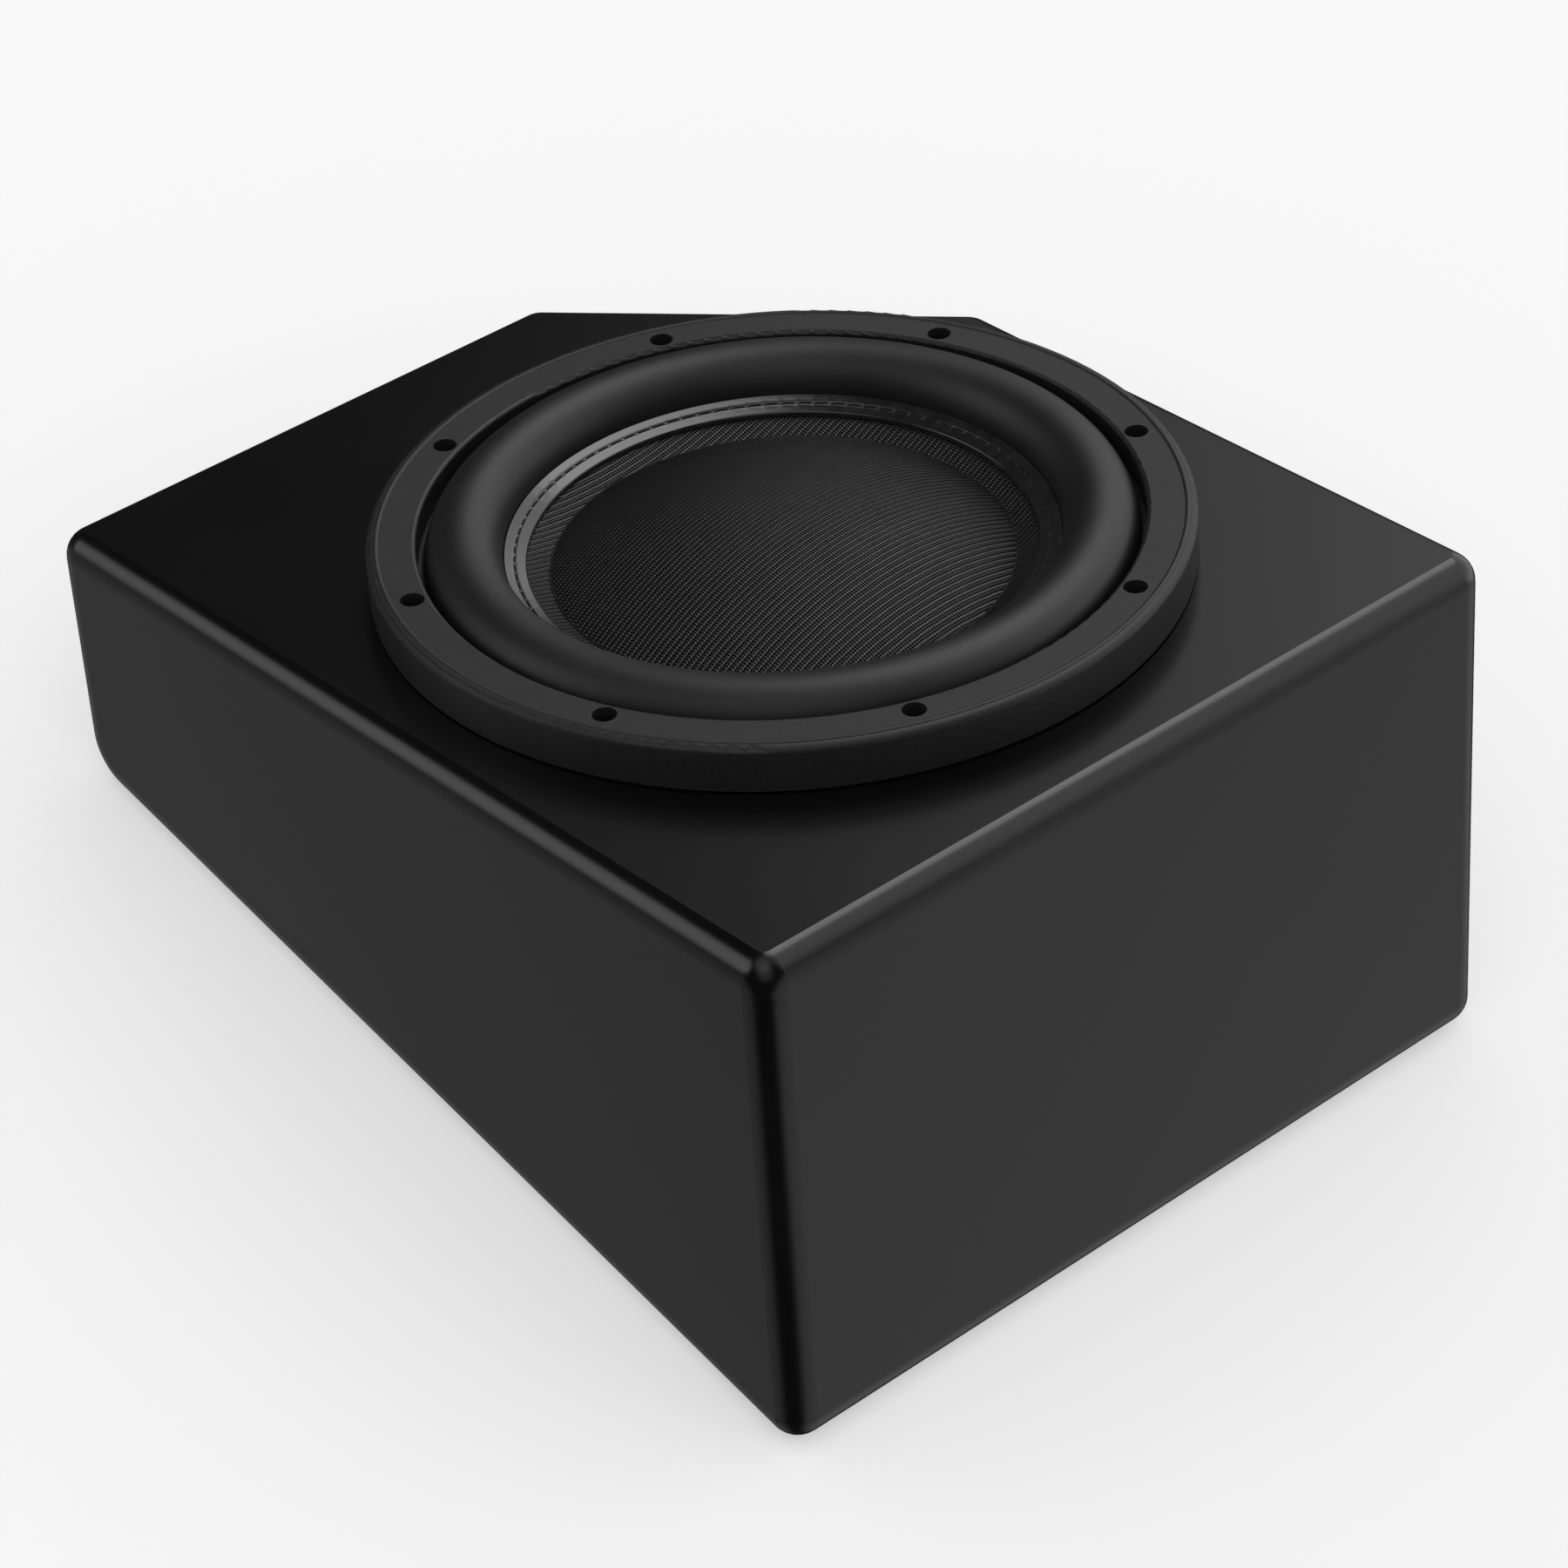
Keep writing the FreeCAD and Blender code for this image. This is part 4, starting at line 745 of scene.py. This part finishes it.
def build_cone():
    """The woven cone: relief where it shows between band and cap, plain below."""
    radius, height = radius_and_height(nodes["cone"])
    bend_r = 86.0             # hidden by the cap, the cone steepens here towards the coil former
    wall = 1.4
    bend_wall = 1.96
    relief = 0.10
    band_cover = BAND_IN + 1.0          # the band hides the cloth from here outwards
    neck = (CONE_IN, float(height[radius < CONE_IN + 0.5].max()))
    bend = on_cone(bend_r)
    bend_low = on_cone(bend_r, -bend_wall)
    outline = line(neck, bend, 8)
    outline += line(bend, on_cone(band_cover), 38)
    outline += line(on_cone(band_cover), (CONE_OUT, CONE_HIGH), 3)
    outline.append((CONE_OUT, CONE_HIGH))
    outline += line((CONE_OUT, CONE_HIGH - wall), bend_low, 4)
    outline += line(bend_low, (CONE_IN, CONE_LOW), 6)
    outline.append((CONE_IN, CONE_LOW))

    def shape(r, h, a):
        seen = (r > bend_r) & (r < band_cover + 0.2) & (h > cone_top(r) - 0.2)
        lift = weave_lift((r * np.cos(a)).ravel(), (r * np.sin(a)).ravel(), relief)
        return r, h + np.where(seen, lift.reshape(r.shape), 0)

    cone = lathe("cone_cloth", outline, 1500, MATERIALS["cone_weave"], shape)
    hand_over(cone, "cone_assembly", "cone_weave", "cone")


def cap_disc():
    """A disc of the cap's radius as a grid along the ribs: x, y and radius of its points, and its faces."""
    rib_step = math.sqrt(2) * YARN
    dx = rib_step / 3
    dy = 2 * rib_step / 7
    count_x = int(CAP_R / dx) + 2
    count_y = int(CAP_R / dy) + 2
    u = np.arange(-count_x, count_x + 1) * dx
    v = np.arange(-count_y, count_y + 1) * dy
    gu, gv = np.meshgrid(u, v, indexing="ij")
    r = np.hypot(gu, gv).ravel()
    quads = grid_quads(len(u), len(v), False, False)
    keep = quads[(r[quads] < CAP_R - 0.05).sum(1) >= 2]
    used, keep = np.unique(keep, return_inverse=True)
    pull = np.minimum(1.0, CAP_R / np.maximum(r[used], dx))
    gu = gu.ravel()[used] * pull
    gv = gv.ravel()[used] * pull
    turn = math.radians(TWILL_TURN)
    x = gu * math.cos(turn) - gv * math.sin(turn)
    y = gu * math.sin(turn) + gv * math.cos(turn)
    return x, y, np.minimum(r[used], CAP_R), keep.reshape(-1, 4)


def build_cap():
    """The woven dome: part of a ball, with the twill raised on it and a rounded rim."""
    relief = 0.12
    rim = 1.2                 # width of the rim, where the relief fades out
    rim_rise = 0.25
    ball = (CAP_R ** 2 + CAP_TOP ** 2) / (2 * CAP_TOP)
    x, y, r, quads = cap_disc()
    fade = np.clip((CAP_R - r) / rim, 0, 1)
    height = np.sqrt(ball ** 2 - r ** 2) - (ball - CAP_TOP)
    height += weave_lift(x, y, relief) * fade + rim_rise * (1 - (1 - fade) ** 2)
    cap = mesh_object("dust_cap_cloth", in_row(x, y, height), quads, MATERIALS["cap_weave"])
    hand_over(cap, "cone_assembly", "cap_weave", "dust_cap")


def build_cap_rim():
    """The cap's glued rim: a thin uneven bead of adhesive against the cone."""
    bead_r = 0.5
    outline = arc((CAP_R - 0.15, 0.05), bead_r, 200, -110, 18)

    def shape(r, h, a):
        wave = 0.10 * np.sin(23 * a) + 0.08 * np.sin(57 * a + 2) + 0.06 * np.sin(131 * a + 1)
        return r + wave, h + 0.4 * wave

    rim = lathe("cap_glue_bead", outline, 900, MATERIALS["seam_cord"], shape)
    hand_over(rim, "cone_assembly", "seam_cord")


def build_spider():
    """The corrugated cloth disc, as a thin turned sheet."""
    inner, outer, low, high = reach("spider")
    neck = 4.0                # width of the thicker, glued inner rim
    first = inner + neck
    last = 94.5               # the corrugation ends here
    wave = 2.4
    waves = 6
    cloth_half = 0.4
    neck_half = 1.3
    radii = np.concatenate([np.linspace(inner, first, 5)[:-1], np.linspace(first, last, 120), [outer]])
    share = np.clip((radii - first) / (last - first), 0, 1)
    height = (low + high) / 2 + wave * np.sin(2 * math.pi * waves * share) * (radii < last)
    half = cloth_half + (neck_half - cloth_half) * np.clip((first - radii) / neck, 0, 1)
    upper = list(zip(radii, height + half))
    lower = list(zip(radii, height - half))
    cloth = lathe("spider_disc", upper + lower[::-1], 200, MATERIALS["spider_cloth"])
    hand_over_bending(cloth, "spider", still=last, moving=first)


def copied(node, name):
    """A new piece with a copy of a CAD node's mesh."""
    piece = bpy.data.objects.new(name, nodes[node].data.copy())
    bpy.context.scene.collection.objects.link(piece)
    return piece


def build_leads():
    """The braided leads between the coil former and the lead board, a copy of the CAD node."""
    board_r = 104.0
    former_r = CONE_IN + 2.0
    leads = copied("flexible_leads", "flexible_lead_braid")
    hand_over_bending(leads, "flexible_leads", still=board_r, moving=former_r)


def build_lining():
    """Puffy wadding in place of the flat pads: remeshed, drawn in a little and made lumpy."""
    pads = copied("wall_lining", "wall_wadding")
    remesh = pads.modifiers.new("even", "REMESH")
    remesh.mode = "VOXEL"
    remesh.voxel_size = 3.5 * MM
    bpy.context.view_layer.update()
    graph = bpy.context.evaluated_depsgraph_get()
    mesh = bpy.data.meshes.new_from_object(pads.evaluated_get(graph))
    pads.modifiers.clear()
    pads.data = mesh
    mesh.materials.clear()
    mesh.materials.append(MATERIALS["wadding"])
    draw_in = 1.2
    lumps = ((55.0, 1.6), (210.0, 0.9))       # waves per metre, and height in millimetres
    normals = [vertex.normal.copy() for vertex in mesh.vertices]
    for vertex, normal in zip(mesh.vertices, normals):
        lift = sum(noise.noise(vertex.co * waves) * size for waves, size in lumps)
        vertex.co += normal * (lift - draw_in) * MM
    mesh.shade_smooth()
    hand_over(pads, "cabinet", "wadding", "wall_lining")


# ---- floor, light and camera
CAMERA_PLACE = (-1.1332, -1.0274, 1.5954)
CAMERA_BEARING = 47.98       # degrees from +Y towards +X
CAMERA_DIP = 45.21           # degrees below level
CAMERA_ROLL = 9.207          # degrees, with its right side turned up
LENS = 121.6                 # millimetres, on a sensor of this width:
SENSOR = 36.0


def heading(bearing, height):
    """Unit vector for a bearing from +Y towards +X and a height above level, in degrees."""
    b = math.radians(bearing)
    h = math.radians(height)
    return Vector((math.sin(b) * math.cos(h), math.cos(b) * math.cos(h), math.sin(h)))


def camera_directions():
    """The camera's right, up and forward directions."""
    forward = heading(CAMERA_BEARING, -CAMERA_DIP)
    level = heading(CAMERA_BEARING + 90, 0)
    roll = math.radians(CAMERA_ROLL)
    right = level * math.cos(roll) + level.cross(forward) * math.sin(roll)
    return right, right.cross(forward), forward


CAMERA_RIGHT, CAMERA_UP, CAMERA_FORWARD = camera_directions()

# Soft boxes as the glossy surfaces see them: bearing from +Y towards +X and height, in degrees,
# then the angles from the box's middle where it is full and where it ends, and its strength.
SOFT_BOXES = (
    (48.0, 53.0, 13.0, 23.0, 2.3),      # high, behind and to the right
    (90.0, 30.0, 34.0, 54.0, 1.15),     # wide, to the right
    (146.0, -23.0, 28.0, 56.0, 0.53),   # wide and low, front right
    (-48.0, -45.0, 25.0, 50.0, 0.27),   # low, left
    (-44.0, 18.0, 8.0, 26.0, 1.5),      # behind and to the left
    (-90.0, 70.0, 8.0, 36.0, 0.7),      # overhead
    (228.0, 45.0, 8.0, 36.0, 0.35),     # beside the camera
)
ROOM = 0.025                 # what glossy surfaces see between the boxes
EVEN_LIGHT = 0.62            # what lights everything else
BACKDROP = 0.96              # what the camera sees behind the floor
FLOOR_HALF = 12.0            # metres from its middle to its edge
FLOOR_GAP = 0.4 * MM         # how far it lies below the cabinet
FLOOR_GLOW = 0.42


def build_floor():
    """A large pale sheet under the cabinet. Glossy surfaces see the soft boxes instead of it."""
    g = Finish("floor_sheet")
    patches = g.noise(500.0, detail=2.0)
    g.set(Base_Color=g.mix(patches, grey(0.84), grey(0.86)), Roughness=0.9, Specular_IOR_Level=0.1)
    g.set(Emission_Color=grey(1.0), Emission_Strength=FLOOR_GLOW)
    signs = ((-1, -1), (1, -1), (1, 1), (-1, 1))
    corners = [(x * FLOOR_HALF, y * FLOOR_HALF, -FLOOR_GAP) for x, y in signs]
    floor = mesh_object("floor", corners, [[0, 1, 2, 3]], g.material, smooth=False)
    floor.visible_glossy = False


def soft_box(g, seen, bearing, height, full, end, strength):
    """Light of one soft box in a direction seen from the camera."""
    towards = heading(bearing, height)
    in_camera = tuple(towards.dot(v) for v in (CAMERA_RIGHT, CAMERA_UP, CAMERA_FORWARD))
    closeness = g.vector("DOT_PRODUCT", seen, in_camera)
    return g.spread(closeness, math.cos(math.radians(end)), math.cos(math.radians(full)), 0.0, strength)


def build_world():
    """A soft even room, and soft boxes that keep their place beside the camera."""
    world = bpy.data.worlds.new("studio")
    world.use_nodes = True
    bpy.context.scene.world = world
    g = Graph(world.node_tree, "Generated")
    output = g.tree.nodes.new("ShaderNodeOutputWorld")
    background = g.tree.nodes.new("ShaderNodeBackground")
    g.tree.links.new(background.outputs[0], output.inputs[0])
    turned = g.tree.nodes.new("ShaderNodeVectorTransform")
    turned.vector_type = "VECTOR"
    turned.convert_from = "WORLD"
    turned.convert_to = "CAMERA"
    g.tree.links.new(g.coordinates, turned.inputs[0])
    boxes = ROOM
    for box in SOFT_BOXES:
        boxes = g.math("ADD", soft_box(g, turned.outputs[0], *box), boxes)
    path = g.tree.nodes.new("ShaderNodeLightPath")
    light = g.mix(path.outputs["Is Glossy Ray"], EVEN_LIGHT, boxes, "FLOAT")
    light = g.mix(path.outputs["Is Camera Ray"], light, BACKDROP, "FLOAT")
    g.tree.links.new(light, background.inputs["Strength"])
    g.link(grey(1.0), background.inputs["Color"])


def build_camera():
    """The camera's place and turn in the row frame."""
    data = bpy.data.cameras.new("camera")
    data.lens = LENS
    data.sensor_width = SENSOR
    data.clip_start = 0.05
    data.clip_end = 50.0
    camera = bpy.data.objects.new("camera", data)
    bpy.context.scene.collection.objects.link(camera)
    turn = Matrix((CAMERA_RIGHT, CAMERA_UP, -CAMERA_FORWARD)).transposed()
    camera.matrix_world = Matrix.Translation(CAMERA_PLACE) @ turn.to_4x4()
    bpy.context.scene.camera = camera


dress_cad()
build_surround()
build_band()
build_stitches()
build_cone()
build_cap()
build_cap_rim()
build_spider()
build_leads()
build_lining()
build_floor()
build_world()
build_camera()
bpy.context.scene.view_settings.view_transform = "Standard"
